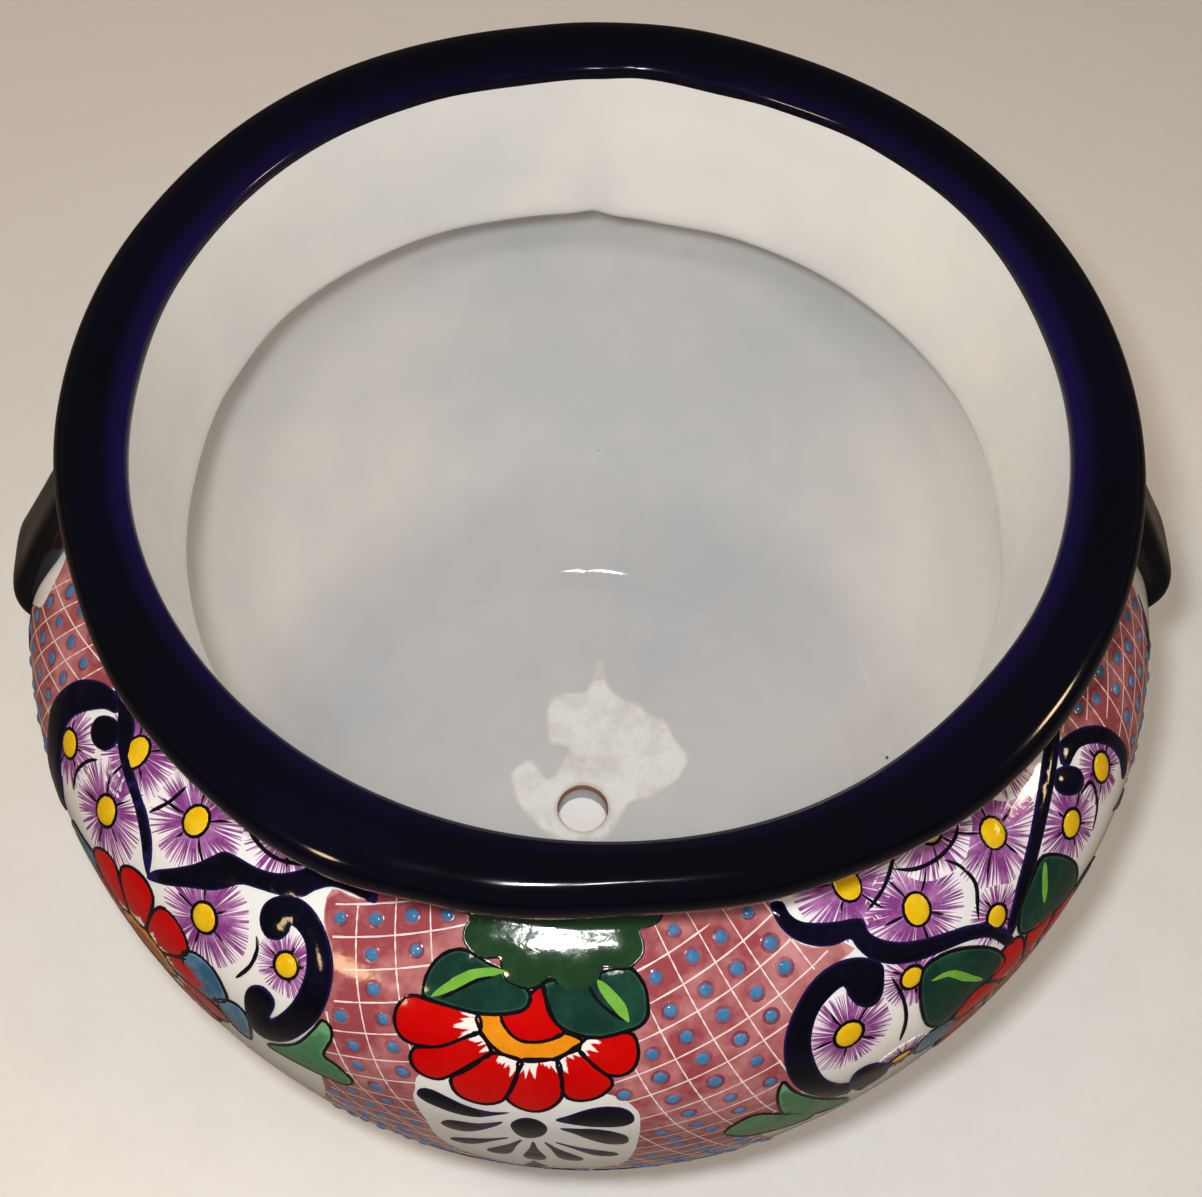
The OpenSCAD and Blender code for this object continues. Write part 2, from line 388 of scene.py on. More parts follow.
# %% Turn the body
NECK_END, LIP_Z, NECK_RUN, INNER_RISE, INNER_END = -48.0, 350.0, 67.0, 55.6, 300.0
OUT_PARTS, NECK_PARTS, IN_PARTS, TURNS = 104, 15, 62, 320
outside = [belly_line(TO_FOOT + (NECK_END - TO_FOOT) * k / OUT_PARTS)[:2] for k in range(OUT_PARTS + 1)]
neck_in = [(THROAT_R + (MOUTH_R - THROAT_R) * (z - THROAT_Z) / (MOUTH_Z - THROAT_Z), z)
           for z in (LIP_Z - NECK_RUN * k / NECK_PARTS for k in range(NECK_PARTS + 1))]
throat = curve((157, 282.6), (157, 277.6), (163, 277.8), 6)[1:]
throat += curve((163, 277.8), (167.5, 278.6), (172.5, 287.6), 5)[1:]
starts_in = TOP_ARC * (WAIST_TURN - math.asin(INNER_RISE / (TOP_ARC - WALL)))
inside = [sharp_line(starts_in + 4 + (INNER_END - starts_in) * k / IN_PARTS, WALL)
          for k in range(IN_PARTS + 1)]
to_floor = curve(inside[-1], (143.5, 14.4), (133.2, 14.2), 12)[1:]
ledge = [(133.2, 13.4), (134.4, 13.0), (134.4, 8.3), (143.0, 8.3), (150.8, 8.2)]
body = turned_piece("glazed_body", outside + neck_in + throat + inside + to_floor + ledge, TURNS)
print("body", len(body.data.vertices), "points")

# %% [markdown]
# A thrown or pressed pot is never quite round. The throat and the mouth go in and out by a few mm,
# and at the back the seam of the two halves leaves a kink in the throat's edge and a faint upright
# ridge inside. Proportional editing would do it by hand. Here the points are moved in code, by
# how far round they are, so that the neck and the rim can follow the same unevenness.

# %% Hand unevenness
MOUTH_UNEVEN = (
    (-180, -0.8), (-169, -2.3), (-155, -0.8), (-140, 0.3), (-110, -0.9), (-95, -1.6), (-70, -0.3), (0, 0.2),
    (20, 0.6), (46, -1.2), (65, 0.0), (100, 0.8), (125, 3.0), (140, 2.0), (155, -0.3), (163, -1.2),
    (174, 0.7))
THROAT_UNEVEN = (
    (-180, 1.0), (-176, -0.6), (-170, -0.5), (-150, 1.5), (-129, 3.0), (-113, 1.2), (-95, -1.0),
    (-60, -1.0), (0, 0.0), (60, -1.0), (90, -1.0), (110, 0.5), (137, -0.9), (156, -1.8), (168, -3.2),
    (176, -2.0))
RIM_UNEVEN = (
    (-180, 1.0), (-170, 0.0), (-145, 1.0), (-115, -1.0), (-90, -1.7), (-71, -2.5), (-50, 1.0), (-28, 3.2),
    (-14, -0.5), (3, -4.0), (18, -2.0), (41, 1.0), (63, 0.0), (90, 0.0), (110, 0.5), (135, 0.8), (155, 0.2),
    (170, 1.5))


def uneven_at(angle, marks):
    """Softly joined value at an angle, from (angle, mm) marks round the ring."""
    marks = list(marks) + [(marks[0][0] + 360, marks[0][1])]
    angle = (angle + 180) % 360 - 180
    for (a, va), (b, vb) in zip(marks, marks[1:]):
        if a <= angle <= b:
            t = (angle - a) / (b - a)
            return va + (vb - va) * t * t * (3 - 2 * t)
    return marks[0][1]


def round_angle(x, y):
    """Degrees round the pot from the front, to the right."""
    return math.degrees(math.atan2(x, -y))


def points_of(piece):
    """Each point of a piece, with its radius and height in mm and its degrees round the pot."""
    for v in piece.data.vertices:
        yield v, math.hypot(v.co.x, v.co.y) / MM, v.co.z / MM, round_angle(v.co.x, v.co.y)


def push_out(v, r, move):
    """Move a point at radius r mm outwards by move mm."""
    v.co.x *= 1 + move / r
    v.co.y *= 1 + move / r


def between(value, low, high):
    """0 below low, 1 above high, straight between them."""
    return min(1.0, max(0.0, (value - low) / (high - low)))


def on_inner_wall(r, z):
    """True for a point of the body's inner wall, at radius r and height z in mm."""
    if z > WAIST_Z - 1:
        return r < WAIST_R - 0.4
    if z > EQUATOR_Z:
        top = EQUATOR_Z + math.sqrt(max(0.0, TOP_ARC ** 2 - max(0.0, r - BELLY_R + TOP_ARC) ** 2))
        return r < WAIST_R or z < top - IN_WALL
    return r < BELLY_R - LOW_ARC + LOW_ARC * math.cos(math.asin((EQUATOR_Z - z) / LOW_ARC)) - IN_WALL


# %% Move the throat, the mouth and the seam, and paint the shade inside
SEAM_RIDGE, SEAM_AT, SEAM_TOP = 0.5, 179.2, 276
THROAT_FROM, THROAT_TO, MOUTH_FROM = (262, 278), (286, 335), (300, 350)
# Painted shade inside the bowl: full on the floor, easing to a quarter between 14 and 70 mm up, and gone
# between 266 and 284 mm, at the throat.
SHADE_FADES, SHADE_ENDS, SHADE_FADE = (14, 70), (266, 284), 0.75
inside_shade = [0.0] * len(body.data.vertices)
for v, r, z, angle in points_of(body):
    if r < 150 and FLOOR_Z - 1 < z < FLOOR_Z + 1:
        inside_shade[v.index] = 1.0
    if not on_inner_wall(r, z) or z < FLOOR_Z + 1:
        continue
    at_throat = between(z, *THROAT_FROM) * (1 - between(z, *THROAT_TO))
    move = at_throat * uneven_at(angle, THROAT_UNEVEN)
    move += between(z, *MOUTH_FROM) * uneven_at(angle, MOUTH_UNEVEN)
    if abs(angle) > SEAM_AT and z < SEAM_TOP:
        move -= SEAM_RIDGE
    inside_shade[v.index] = (1 - SHADE_FADE * between(z, *SHADE_FADES)) * (1 - between(z, *SHADE_ENDS))
    push_out(v, r, move)
carry(body, "inside", inside_shade)
smooth(body, 50)
body.data.materials.append(white_glaze)
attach(body, "root")
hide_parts("left_half_shell", "right_half_shell", "front_seam_coil", "back_seam_coil")
print("body box in m", [round(c, 4) for c in body.dimensions])

# %% [markdown]
# ## Foot and floor
# The floor is a slab with a raised disc that fits inside the shells, and a drain hole punched
# through. It starts as a cylinder. Insets draw the ledge and the rings that the turning tool
# left, and the hole is two insets whose faces are deleted and whose edges are bridged.

# %% Foot slab
RINGS, RIPPLE = 27, (0.12, -0.16, 0.04)
EASE, GLAZE_RUN, GLAZED_FROM = 0.4, 10, 12.8


def pick(kind, choose):
    """Select the faces or edges of the open mesh for which choose is true."""
    bpy.ops.mesh.select_mode(type=kind)
    bpy.ops.mesh.select_all(action="DESELECT")
    mesh = bmesh.from_edit_mesh(bpy.context.object.data)
    for part in mesh.faces if kind == "FACE" else mesh.edges:
        part.select_set(choose(part))
    bmesh.update_edit_mesh(bpy.context.object.data)


def worn(edge):
    """True for the rings of the drain hole's wall and the lower edge of the foot."""
    r = [math.hypot(v.co.x, v.co.y) / MM for v in edge.verts]
    z = [v.co.z / MM for v in edge.verts]
    hole = all(abs(far - DRAIN_R) < EASE for far in r) and abs(z[0] - z[1]) < 0.1
    return hole or min(r) > FOOT_R - 0.5 and max(z) < 0.1


bpy.ops.object.select_all(action="DESELECT")
bpy.ops.mesh.primitive_cylinder_add(vertices=160, radius=FOOT_R * MM, depth=FOOT_T * MM,
                                    location=(0, 0, FOOT_T / 2 * MM))
base = bpy.context.object
base.name = base.data.name = "foot_and_floor"
bpy.ops.object.transform_apply(location=True)
bpy.ops.object.mode_set(mode="EDIT")
pick("FACE", lambda face: face.normal.z < -0.9)
bpy.ops.mesh.inset(thickness=(FOOT_R - DRAIN_R) * MM)
bpy.ops.mesh.delete(type="ONLY_FACE")
pick("FACE", lambda face: face.normal.z > 0.9)
bpy.ops.mesh.inset(thickness=(FOOT_R - FLOOR_R) * MM)
bpy.ops.mesh.extrude_region_move(TRANSFORM_OT_translate={"value": (0, 0, (FLOOR_Z - FOOT_T) * MM)})
for k in range(RINGS):
    bpy.ops.mesh.inset(thickness=(FLOOR_R - DRAIN_R) / RINGS * MM)
    bpy.ops.transform.translate(value=(0, 0, RIPPLE[k % 3] * MM))
bpy.ops.mesh.delete(type="ONLY_FACE")

# %% Punch the hole and soften its edge
pick("EDGE", lambda edge: edge.is_boundary)
bpy.ops.mesh.bridge_edge_loops(number_cuts=3)
pick("EDGE", worn)
bpy.ops.mesh.bevel(offset=0.6 * MM, segments=2)
leave_edit()
base.data.materials.append(white_glaze)
base.data.materials.append(bare_clay)
for face in base.data.polygons:
    far = math.hypot(face.center.x, face.center.y) / MM
    high = face.center.z / MM
    run_glaze = far < DRAIN_R + EASE and high < GLAZE_RUN and abs(face.normal.z) < 0.2
    face.material_index = 0 if run_glaze or high > GLAZED_FROM and far > DRAIN_R + EASE else 1
# Painted shade: the floor slab and the glazed lower wall of its hole take the full inside shade.
carry(base, "inside", [1.0] * len(base.data.vertices))
smooth(base, 35)
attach(base, "root")
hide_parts("base_slab")
print("foot", len(base.data.polygons), "faces")

# %% [markdown]
# ## Rim
# The rim is a roll of clay folded outwards over the end of the neck and dipped in cobalt. Its
# section is drawn as a closed line and spun like the body. Then the inner edge follows the mouth
# and the outer edge its own unevenness. Cobalt runs thin over the inner edge and shows violet,
# and the violet is painted strongest at the left and right as a painted reflection.

# %% Turn the rim
ROLL_AT, ROLL_Z, ROLL_R, CREST_R = 183, 348, 10, 28
CREST_Z = ROLL_Z + ROLL_R - CREST_R
EDGE_TO_EDGE, THIN_TO, THIN_FROM, RIM_WAVE = (170, 188), (167, 175), (350, 353), 0.25
roll = [(ROLL_AT + ROLL_R * math.cos(a), ROLL_Z + ROLL_R * math.sin(a))
        for a in (math.radians(90 - 220 * k / 26) for k in range(27))]
crest = [(ROLL_AT - CREST_R * math.sin(a), CREST_Z + CREST_R * math.cos(a))
         for a in (math.radians(34 - 34 * k / 10) for k in range(10))]
lip = curve((166.2, 348.6), (165.9, 352.0), crest[0], 4)[:-1] + crest
rim = turned_piece("cobalt_rim", lip + roll + [(174.9, 343.5), (174.4, 346.5), (170.5, 349.5)], TURNS)
thin = []
for v, r, z, angle in points_of(rim):
    outer, turn = between(r, *EDGE_TO_EDGE), math.radians(angle)
    move = (1 - outer) * uneven_at(angle, MOUTH_UNEVEN) + outer * uneven_at(angle, RIM_UNEVEN)
    # The thin weight: cobalt thinning at the inner edge, made strongest at the left and right as a painted
    # reflection.
    thin.append((1 - between(r, *THIN_TO)) * between(z, *THIN_FROM) * (0.2 + 0.8 * math.sin(turn) ** 2))
    push_out(v, r, move)
    v.co.z += RIM_WAVE * math.sin(math.radians(5 * angle + 40)) * outer * MM
carry(rim, "thin", thin)
smooth(rim, 50)
rim.data.materials.append(cobalt_glaze)
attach(rim, "root")
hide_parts("rim_roll")
print("rim", [round(c, 4) for c in rim.dimensions])

# %% [markdown]
# ## Ears
# Each ear is a pulled strap of clay, luted under the rim's roll and pressed onto the belly, where
# it spreads. A strap is an extrusion: a circle is extruded section by section, and each new section
# is laid across the strap's line at its own width and thickness. A subdivision rounds the clay.

# %% The strap's line
EAR_TOP, EAR_FOOT, EAR_BOW = Vector((181.0, 341.0)), Vector((222.5, 265.0)), 1.0
BEND_R, BEND_TURN = 14.0, math.radians(80)
chord = EAR_FOOT - EAR_TOP
HALF_TURN = 2 * math.atan(2 * EAR_BOW / chord.length)
STRAP_ARC = chord.length / (2 * math.sin(HALF_TURN))
FIRST = math.atan2(chord.y, chord.x) + HALF_TURN
STRAP_LENGTH, BEND_LENGTH = STRAP_ARC * 2 * HALF_TURN, BEND_R * BEND_TURN


def strap_line(s):
    """Point on the strap's middle line s mm from the top, and its heading."""
    def side(h):
        return Vector((math.sin(h), -math.cos(h)))

    h = FIRST - min(s, STRAP_LENGTH) / STRAP_ARC
    point = EAR_TOP + STRAP_ARC * (side(FIRST) - side(h))
    if s > STRAP_LENGTH:
        bent = h - min(s - STRAP_LENGTH, BEND_LENGTH) / BEND_R
        point = point + BEND_R * (side(h) - side(bent))
        h = bent
        past = s - STRAP_LENGTH - BEND_LENGTH
        if past > 0:
            point = point + past * Vector((math.cos(h), math.sin(h)))
    return point, h


# %% Pull the strap
SECTIONS, SIDES, TAIL = 26, 16, 4
WIDTH, SPREAD, DEPTH, THICKER, GROOVE = 27.0, 15.0, 9.8, 1.5, 1.4
bpy.ops.object.select_all(action="DESELECT")
bpy.ops.mesh.primitive_circle_add(vertices=SIDES, radius=5 * MM, fill_type="NGON")
ear = bpy.context.object
ear.name = ear.data.name = "right_strap_ear"
bpy.ops.object.mode_set(mode="EDIT")
bpy.ops.mesh.select_mode(type="VERT")
bpy.ops.mesh.select_all(action="SELECT")
for k in range(SECTIONS + 1):
    if k:
        bpy.ops.mesh.extrude_region_move()
    s = (STRAP_LENGTH + BEND_LENGTH + TAIL) * k / SECTIONS
    point, h = strap_line(s)
    foot = between(s, STRAP_LENGTH - 12, STRAP_LENGTH + BEND_LENGTH)
    top = 1 - between(s, 4, 22)
    spread = between(s, STRAP_LENGTH - 36, STRAP_LENGTH + BEND_LENGTH)
    width, depth = WIDTH + SPREAD * spread ** 1.3, DEPTH + THICKER * top + THICKER * foot
    mesh = bmesh.from_edit_mesh(ear.data)
    ring = sorted((v for v in mesh.verts if v.select), key=lambda v: v.index)
    for j, v in enumerate(ring):
        a = math.tau * j / SIDES
        c, up = math.cos(a), math.sin(a)
        across = width / 2 * math.copysign(abs(c) ** 0.8, c)
        through = depth / 2 * math.copysign(abs(up) ** (0.8 if up > 0 else 0.45), up)
        through *= 1 + 1.1 * (1 - top) if through < 0 else 1
        through -= GROOVE * max(0.0, up) ** 8 * (1 - foot) * (1 - top)
        x, z = point.x - through * math.sin(h), point.y + through * math.cos(h)
        if z < WAIST_Z:
            x = max(x, BELLY_R - TOP_ARC + math.sqrt(TOP_ARC ** 2 - (z - EQUATOR_Z) ** 2) - IN_WALL)
        v.co = Vector((x, across, z)) * MM
    mesh.verts.index_update()
    bmesh.update_edit_mesh(ear.data)
leave_edit()
rounding = ear.modifiers.new("rounding", "SUBSURF")
rounding.levels = rounding.render_levels = 1
bpy.ops.object.modifier_apply(modifier=rounding.name)
smooth(ear, 60)

# %% Copy it to the other side
other = ear.copy()
other.data = ear.data.copy()
other.name = other.data.name = "left_strap_ear"
scene.collection.objects.link(other)
half_round = Matrix.Rotation(math.radians(182.1), 4, "Z")
other.data.transform(Matrix.Translation((2.5 * MM, 0, 0)) @ half_round)
for strap, node in ((ear, "right_ear"), (other, "left_ear")):
    carry(strap, "thin", [0.0] * len(strap.data.vertices))
    strap.data.materials.append(cobalt_glaze)
    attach(strap, "root")
    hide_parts(node)
    lo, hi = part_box(node)
    reach = max(abs(v.co.x) for v in strap.data.vertices)
    print(strap.name, "reaches x", round(reach, 4), "m, CAD", round(max(abs(lo.x), abs(hi.x)), 4))

# %% [markdown]
# ## Transfer sheets
# The painting is thick glaze: it stands up from the belly, domed where the brush left most. Flat
# outlines are drawn on a sheet, degrees round the pot and mm down from the waist, and wrapped onto
# the belly's line. A daub is a filled outline, a line is a ridge along a path, and a stamp is a
# small form set on the surface. Each colour gathers on a sheet of its own and becomes one piece.

# %% Sheet
SINK, MM_PER_DEGREE, BACK_SEED, MERGE = -0.4, 3.6, 3.7, 1e-4


def spot(angle, drop, lift):
    """A place on the belly, lift mm above the clay, in metres."""
    r, z, out_r, out_z = belly_line(drop)
    r, z, a = r + lift * out_r, z + lift * out_z, math.radians(angle)
    return r * math.sin(a) * MM, -r * math.cos(a) * MM, z * MM


class Sheet:
    """The daubs and lines of one colour before they become one mesh."""

    def __init__(self, name, material, slot="white_glaze", halves=True):
        self.name, self.material, self.slot, self.halves = name, material, slot, halves
        self.points, self.faces, self.inset, self.heart = [], [], [], []

    def add(self, points, faces, inset, heart=None):
        first = len(self.points)
        self.points += points
        self.faces += [tuple(first + i for i in face) for face in faces]
        self.inset += inset
        self.heart += heart or [(0.0, 0.0, 0.0)] * len(points)

    def piece(self):
        """One mesh of all that was gathered, and of the same turned half round for the back."""
        points, faces, n = list(self.points), list(self.faces), len(self.points)
        if self.halves:
            points += [(-x, -y, z) for x, y, z in self.points]
            faces += [tuple(n + i for i in face) for face in self.faces]
        data = bpy.data.meshes.new(self.name)
        data.from_pydata(points, [], faces)
        turns = 2 if self.halves else 1
        made = bpy.data.objects.new(self.name, data)
        carry(made, "inset", self.inset * turns)
        heart = np.array(self.heart * turns, np.float32)
        heart[n:, 2] += BACK_SEED
        data.attributes.new("heart", "FLOAT_VECTOR", "POINT").data.foreach_set("vector", heart.ravel())
        scene.collection.objects.link(made)
        data.materials.append(self.material)
        smooth(made, 50)
        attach(made, "root")
        print(self.name, sum(len(f) - 2 for f in faces), "triangles")


# %% Soft loops and their insides
def to_flat(mark):
    """A mark, in degrees round the pot and mm down from the waist, as a flat point in mm."""
    return Vector((mark[0] * MM_PER_DEGREE, -mark[1]))


def to_marks(points):
    """Flat points back to marks."""
    return [(p.x / MM_PER_DEGREE, -p.y) for p in points]


def rows_of(points):
    """Flat points as rows of an array, to measure many at once."""
    return np.array([tuple(p) for p in points])


def soft_path(marks, step=1.6, closed=True):
    """A soft curve through given marks, in flat mm, as a brush joins them."""
    pts, path = [to_flat(m) for m in marks], []
    n = len(pts)
    for i in range(n if closed else n - 1):
        if closed:
            p0, p3 = pts[i - 1], pts[(i + 2) % n]
        else:
            p0, p3 = pts[max(i - 1, 0)], pts[min(i + 2, n - 1)]
        p1, p2 = pts[i], pts[(i + 1) % n]
        parts = max(1, round((p2 - p1).length / step))
        for t in (k / parts for k in range(parts)):
            path.append(0.5 * (2 * p1 + (p2 - p0) * t + (2 * p0 - 5 * p1 + 4 * p2 - p3) * t * t
                               + (3 * (p1 - p2) + p3 - p0) * t ** 3))
    return path if closed else path + [pts[-1]]


def within(points, loop):
    """True for each flat point inside a closed loop."""
    x, y = points[:, 0, None], points[:, 1, None]
    (ax, ay), (bx, by) = loop.T, np.roll(loop, -1, 0).T
    return (((ay > y) != (by > y)) & (x < (bx - ax) * (y - ay) / (by - ay + 1e-12) + ax)).sum(1) % 2 == 1


def to_edge(points, loop):
    """Distance of each flat point from a closed loop, in mm."""
    a = loop[None]
    ab = (np.roll(loop, -1, 0) - loop)[None]
    ap = points[:, None] - a
    t = np.clip((ap * ab).sum(2) / np.maximum((ab * ab).sum(2), 1e-9), 0, 1)
    return np.sqrt(((ap - t[..., None] * ab) ** 2).sum(2)).min(1)


def skin(faces, n):
    """Close faces over n points with the same faces n points further on, and walls at free edges."""
    used = {(a, b) for f in faces for a, b in zip(f, f[1:] + f[:1])}
    walls = [(a, a + n, b + n, b) for a, b in used if (b, a) not in used]
    return [tuple(f) for f in faces] + [tuple(i + n for i in reversed(f)) for f in faces] + walls


# %% Daub
def daub(sheet, marks, lift=0.3, crown=0.25, soft=2.5, heart=None, seed=0.0, cell=4.0, step=1.6):
    """A filled outline of glaze, lift mm thick at its edge and crown mm more inside."""
    loop = rows_of(soft_path(marks, step))
    low, high = loop.min(0), loop.max(0)
    rows = np.arange(low[1], high[1], cell * 0.87)
    grid = np.array([(x + (j % 2) * cell / 2, y)
                     for j, y in enumerate(rows) for x in np.arange(low[0], high[0], cell)])
    grid = grid[within(grid, loop)]
    if len(grid):
        grid = grid[to_edge(grid, loop) > 0.4 * cell]
    n = len(loop)
    flat = [Vector(p) for p in loop] + [Vector(p) for p in grid]
    flat, _, faces, *_ = delaunay_2d_cdt(flat, [(i, (i + 1) % n) for i in range(n)], [], 1, MERGE)
    away = to_edge(rows_of(flat), loop)
    top, under, hearts, n = [], [], [], len(flat)
    for p, d in zip(flat, away):
        angle, drop = p.x / MM_PER_DEGREE, -p.y
        top.append(spot(angle, drop, lift + crown * math.sqrt(1 - (1 - min(d / soft, 1)) ** 2)))
        under.append(spot(angle, drop, SINK))
        if heart:
            wide = belly_line(drop)[0] * math.radians(1)
            hearts.append(((angle - heart[0]) * wide / heart[2], (drop - heart[1]) / heart[2], seed))
        else:
            hearts.append((0.0, 0.0, seed))
    sheet.add(top + under, skin(faces, n), list(away) * 2, hearts * 2)


# %% Line and stamp
def line(sheet, marks, width=1.5, lift=0.5, closed=False, taper=0.15, step=2.2, seed=1):
    """A ridge of glaze along a path, narrowing to its ends and uneven as a brush line is."""
    path, draw = soft_path(marks, step, closed), random.Random(seed)
    n, points, faces, inset = len(path), [], [], []
    for i, p in enumerate(path):
        if closed:
            ahead, behind = path[(i + 1) % n], path[i - 1]
        else:
            ahead, behind = path[min(i + 1, n - 1)], path[max(i - 1, 0)]
        d = (ahead - behind).normalized()
        t = i / max(1, n - 1)
        half = width / 2 * (0.88 + 0.24 * draw.random())
        if not closed and taper:
            half *= max(0.12, min(1.0, t / taper, (1 - t) / taper) ** 0.6)
        side = Vector((-d.y, d.x)) * half
        left, right, low = p + side, p - side, lift - 0.06
        for at, up in ((left, low), (p, lift + 0.06), (right, low), (right, SINK), (left, SINK)):
            points.append(spot(at.x / MM_PER_DEGREE, -at.y, up))
        inset += [0.0, half, 0.0, 0.0, 0.0]
    for i in range(n if closed else n - 1):
        a, b = 5 * i, 5 * ((i + 1) % n)
        faces += [(a + k, a + (k + 1) % 5, b + (k + 1) % 5, b + k) for k in range(5)]
    if not closed:
        faces += [(4, 3, 2, 1, 0), tuple(5 * (n - 1) + k for k in range(5))]
    sheet.add(points, faces, inset)


def stamp(sheet, form, angle, drop, size=1.0, turn=0.0, squeeze=1.0):
    """Set a small modelled form, in mm with +Z outwards, on the belly."""
    out_r, out_z = belly_line(drop)[2:]
    a = math.radians(angle)
    out = Vector((out_r * math.sin(a), -out_r * math.cos(a), out_z))
    east = Vector((math.cos(a), math.sin(a), 0))
    north = out.cross(east)
    c, s = math.cos(turn), math.sin(turn)
    centre = Vector(spot(angle, drop, 0))
    points, faces = form
    placed = []
    for x, y, up in points:
        flat = (x * c - y * s * squeeze) * east + (x * s + y * c * squeeze) * north
        placed.append(tuple(centre + size * MM * flat + up * MM * out))
    sheet.add(placed, faces, [1.0] * len(placed))


# %% [markdown]
# The raised dots and the yellow hearts repeat, so each form is modelled once: a sphere is flattened
# and cut off below the clay's surface, which leaves a low button of few faces with a flat back.

# %% Button form
def button(name, radius, rise, segments=12, rings=8):
    """Points and faces of a low dome with a closed back that sits a little into the clay."""
    bpy.ops.object.select_all(action="DESELECT")
    bpy.ops.mesh.primitive_uv_sphere_add(segments=segments, ring_count=rings, radius=1.0)
    made = bpy.context.object
    made.name = name
    bpy.ops.object.mode_set(mode="EDIT")
    bpy.ops.mesh.select_all(action="SELECT")
    bpy.ops.transform.resize(value=(radius, radius, rise))
    bpy.ops.mesh.bisect(plane_co=(0, 0, -0.25), plane_no=(0, 0, 1), use_fill=True, clear_inner=True)
    bpy.ops.object.mode_set(mode="OBJECT")
    form = [tuple(v.co) for v in made.data.vertices], [tuple(p.vertices) for p in made.data.polygons]
    bpy.data.objects.remove(made)
    return form


DOT, HALO, HEART = button("dot", 2.4, 0.85), button("halo", 3.5, 0.34), button("heart", 5.2, 0.95, 14)
print("dot", len(DOT[1]), "faces, heart", len(HEART[1]), "faces")

# %% Paint colours
def paint(piece, colour, thick, thin, patches, pooling, slot="white_glaze", **how):
    """A sheet in a glaze of its own."""
    return Sheet(piece, glaze(colour, tone(*thick), tone(*thin), patches, pooling, **how), slot)


pink = paint("pink_wash", "pink_wash", (150, 70, 75), (198, 136, 135), 42.0, 1.0, edge=0.8)
grid_lines = paint("lattice_lines", "lattice_white", (236, 218, 214), (222, 186, 184), 120.0, 0.6)
dots = paint("blue_dots", "dot_blue", (58, 112, 158), (92, 146, 184), 200.0, 0.5)
halos = paint("dot_halos", "dot_halo", (126, 58, 72), (170, 108, 118), 110.0, 0.9)
cobalt = paint("cobalt_scrolls", "cobalt_paint", (8, 8, 16), (30, 22, 74), 60.0, 0.15, "cobalt_glaze",
               edge=1.1)
black = paint("black_lines", "black_line", (14, 12, 18), (36, 26, 44), 150.0, 0.3)
ground = paint("white_ground", "white_ground", (232, 230, 226), (220, 214, 212), 60.0, 0.4)
leaves = paint("green_leaves", "leaf_green", (20, 50, 42), (52, 104, 76), 70.0, 0.25, edge=1.6)
ribs = paint("leaf_ribs", "rib_green", (106, 164, 58), (134, 190, 80), 150.0, 0.5)
scallop = paint("scalloped_flower", "scallop_green", (28, 58, 34), (54, 86, 56), 60.0, 0.35, shine=0.5)
light_green = paint("pale_leaves", "leaf_pale", (62, 118, 78), (112, 160, 118), 50.0, 0.4, edge=1.5)
orange = paint("orange_rings", "ring_orange", (222, 132, 14), (238, 164, 50), 120.0, 0.4)
yellow = paint("daisy_hearts", "heart_yellow", (226, 178, 10), (240, 204, 60), 200.0, 0.5)
blue = paint("blue_petals", "petal_blue", (48, 92, 128), (126, 164, 186), 45.0, 0.55, edge=1.8)

# %% [markdown]
# ## Brushed petals
# Two colours show the brush. On the daisies lilac strokes run out from the heart and fray into the
# white, and on the red petals white teeth bite in from the ring. Both are noise read by direction
# from the flower's heart, which each point carries as an attribute, so there is no seam round it.

# %% Frayed strokes group
frayed, given, result = new_group("frayed_strokes", {
    "Heart": "Vector", "Strokes": "Float", "Full At": "Float", "Gone At": "Float", "Least": "Float",
    "Crisp": "Float"}, {"Covered": "Float"})


def arrows(operation, inputs, output=0):
    """One Vector Math node of the group, as a value to use on."""
    return put(frayed, "VectorMath", inputs, operation=operation).outputs[output]


parts = put(frayed, "SeparateXYZ", {0: given["Heart"]}).outputs
flat_heart = put(frayed, "CombineXYZ", {0: parts[0], 1: parts[1]}).outputs[0]
reach = arrows("LENGTH", {0: flat_heart}, "Value")
heading = arrows("SCALE", {0: arrows("NORMALIZE", {0: flat_heart}), 3: given["Strokes"]})
shift = sums(frayed, "MULTIPLY_ADD", parts[2], 7.0, sums(frayed, "MULTIPLY", reach, 0.2))
heading = arrows("ADD", {0: heading, 1: put(frayed, "CombineXYZ", {2: shift}).outputs[0]})
strokes = put(frayed, "TexNoise", {"Vector": heading, "Scale": 1.0, "Detail": 1.5}).outputs["Fac"]
bar = put(frayed, "MapRange", {"Value": reach, "From Min": given["Full At"], "From Max": given["Gone At"],
                               "To Min": given["Least"], "To Max": 0.68}).outputs[0]
above = sums(frayed, "SUBTRACT", strokes, bar)
below_bar = sums(frayed, "MULTIPLY", given["Crisp"], -1.0)
frayed.links.new(ramp(frayed, above, below_bar, given["Crisp"]), result["Covered"])


def brushed(material, strokes, full_at, gone_at, least, crisp, under):
    """Let a second colour show where the brush strokes from the heart have ended."""
    tree = material.node_tree
    heart = put(tree, "Attribute", attribute_name="heart").outputs["Vector"]
    inputs = {"Heart": heart, "Strokes": strokes, "Full At": full_at, "Gone At": gone_at, "Least": least,
              "Crisp": crisp}
    covered = put(tree, "Group", inputs, node_tree=frayed).outputs["Covered"]
    colour = mixed(tree, covered, under, tree.nodes["laid"].outputs["Color"])
    tree.links.new(colour, tree.nodes["Principled BSDF"].inputs["Base Color"])
    return material


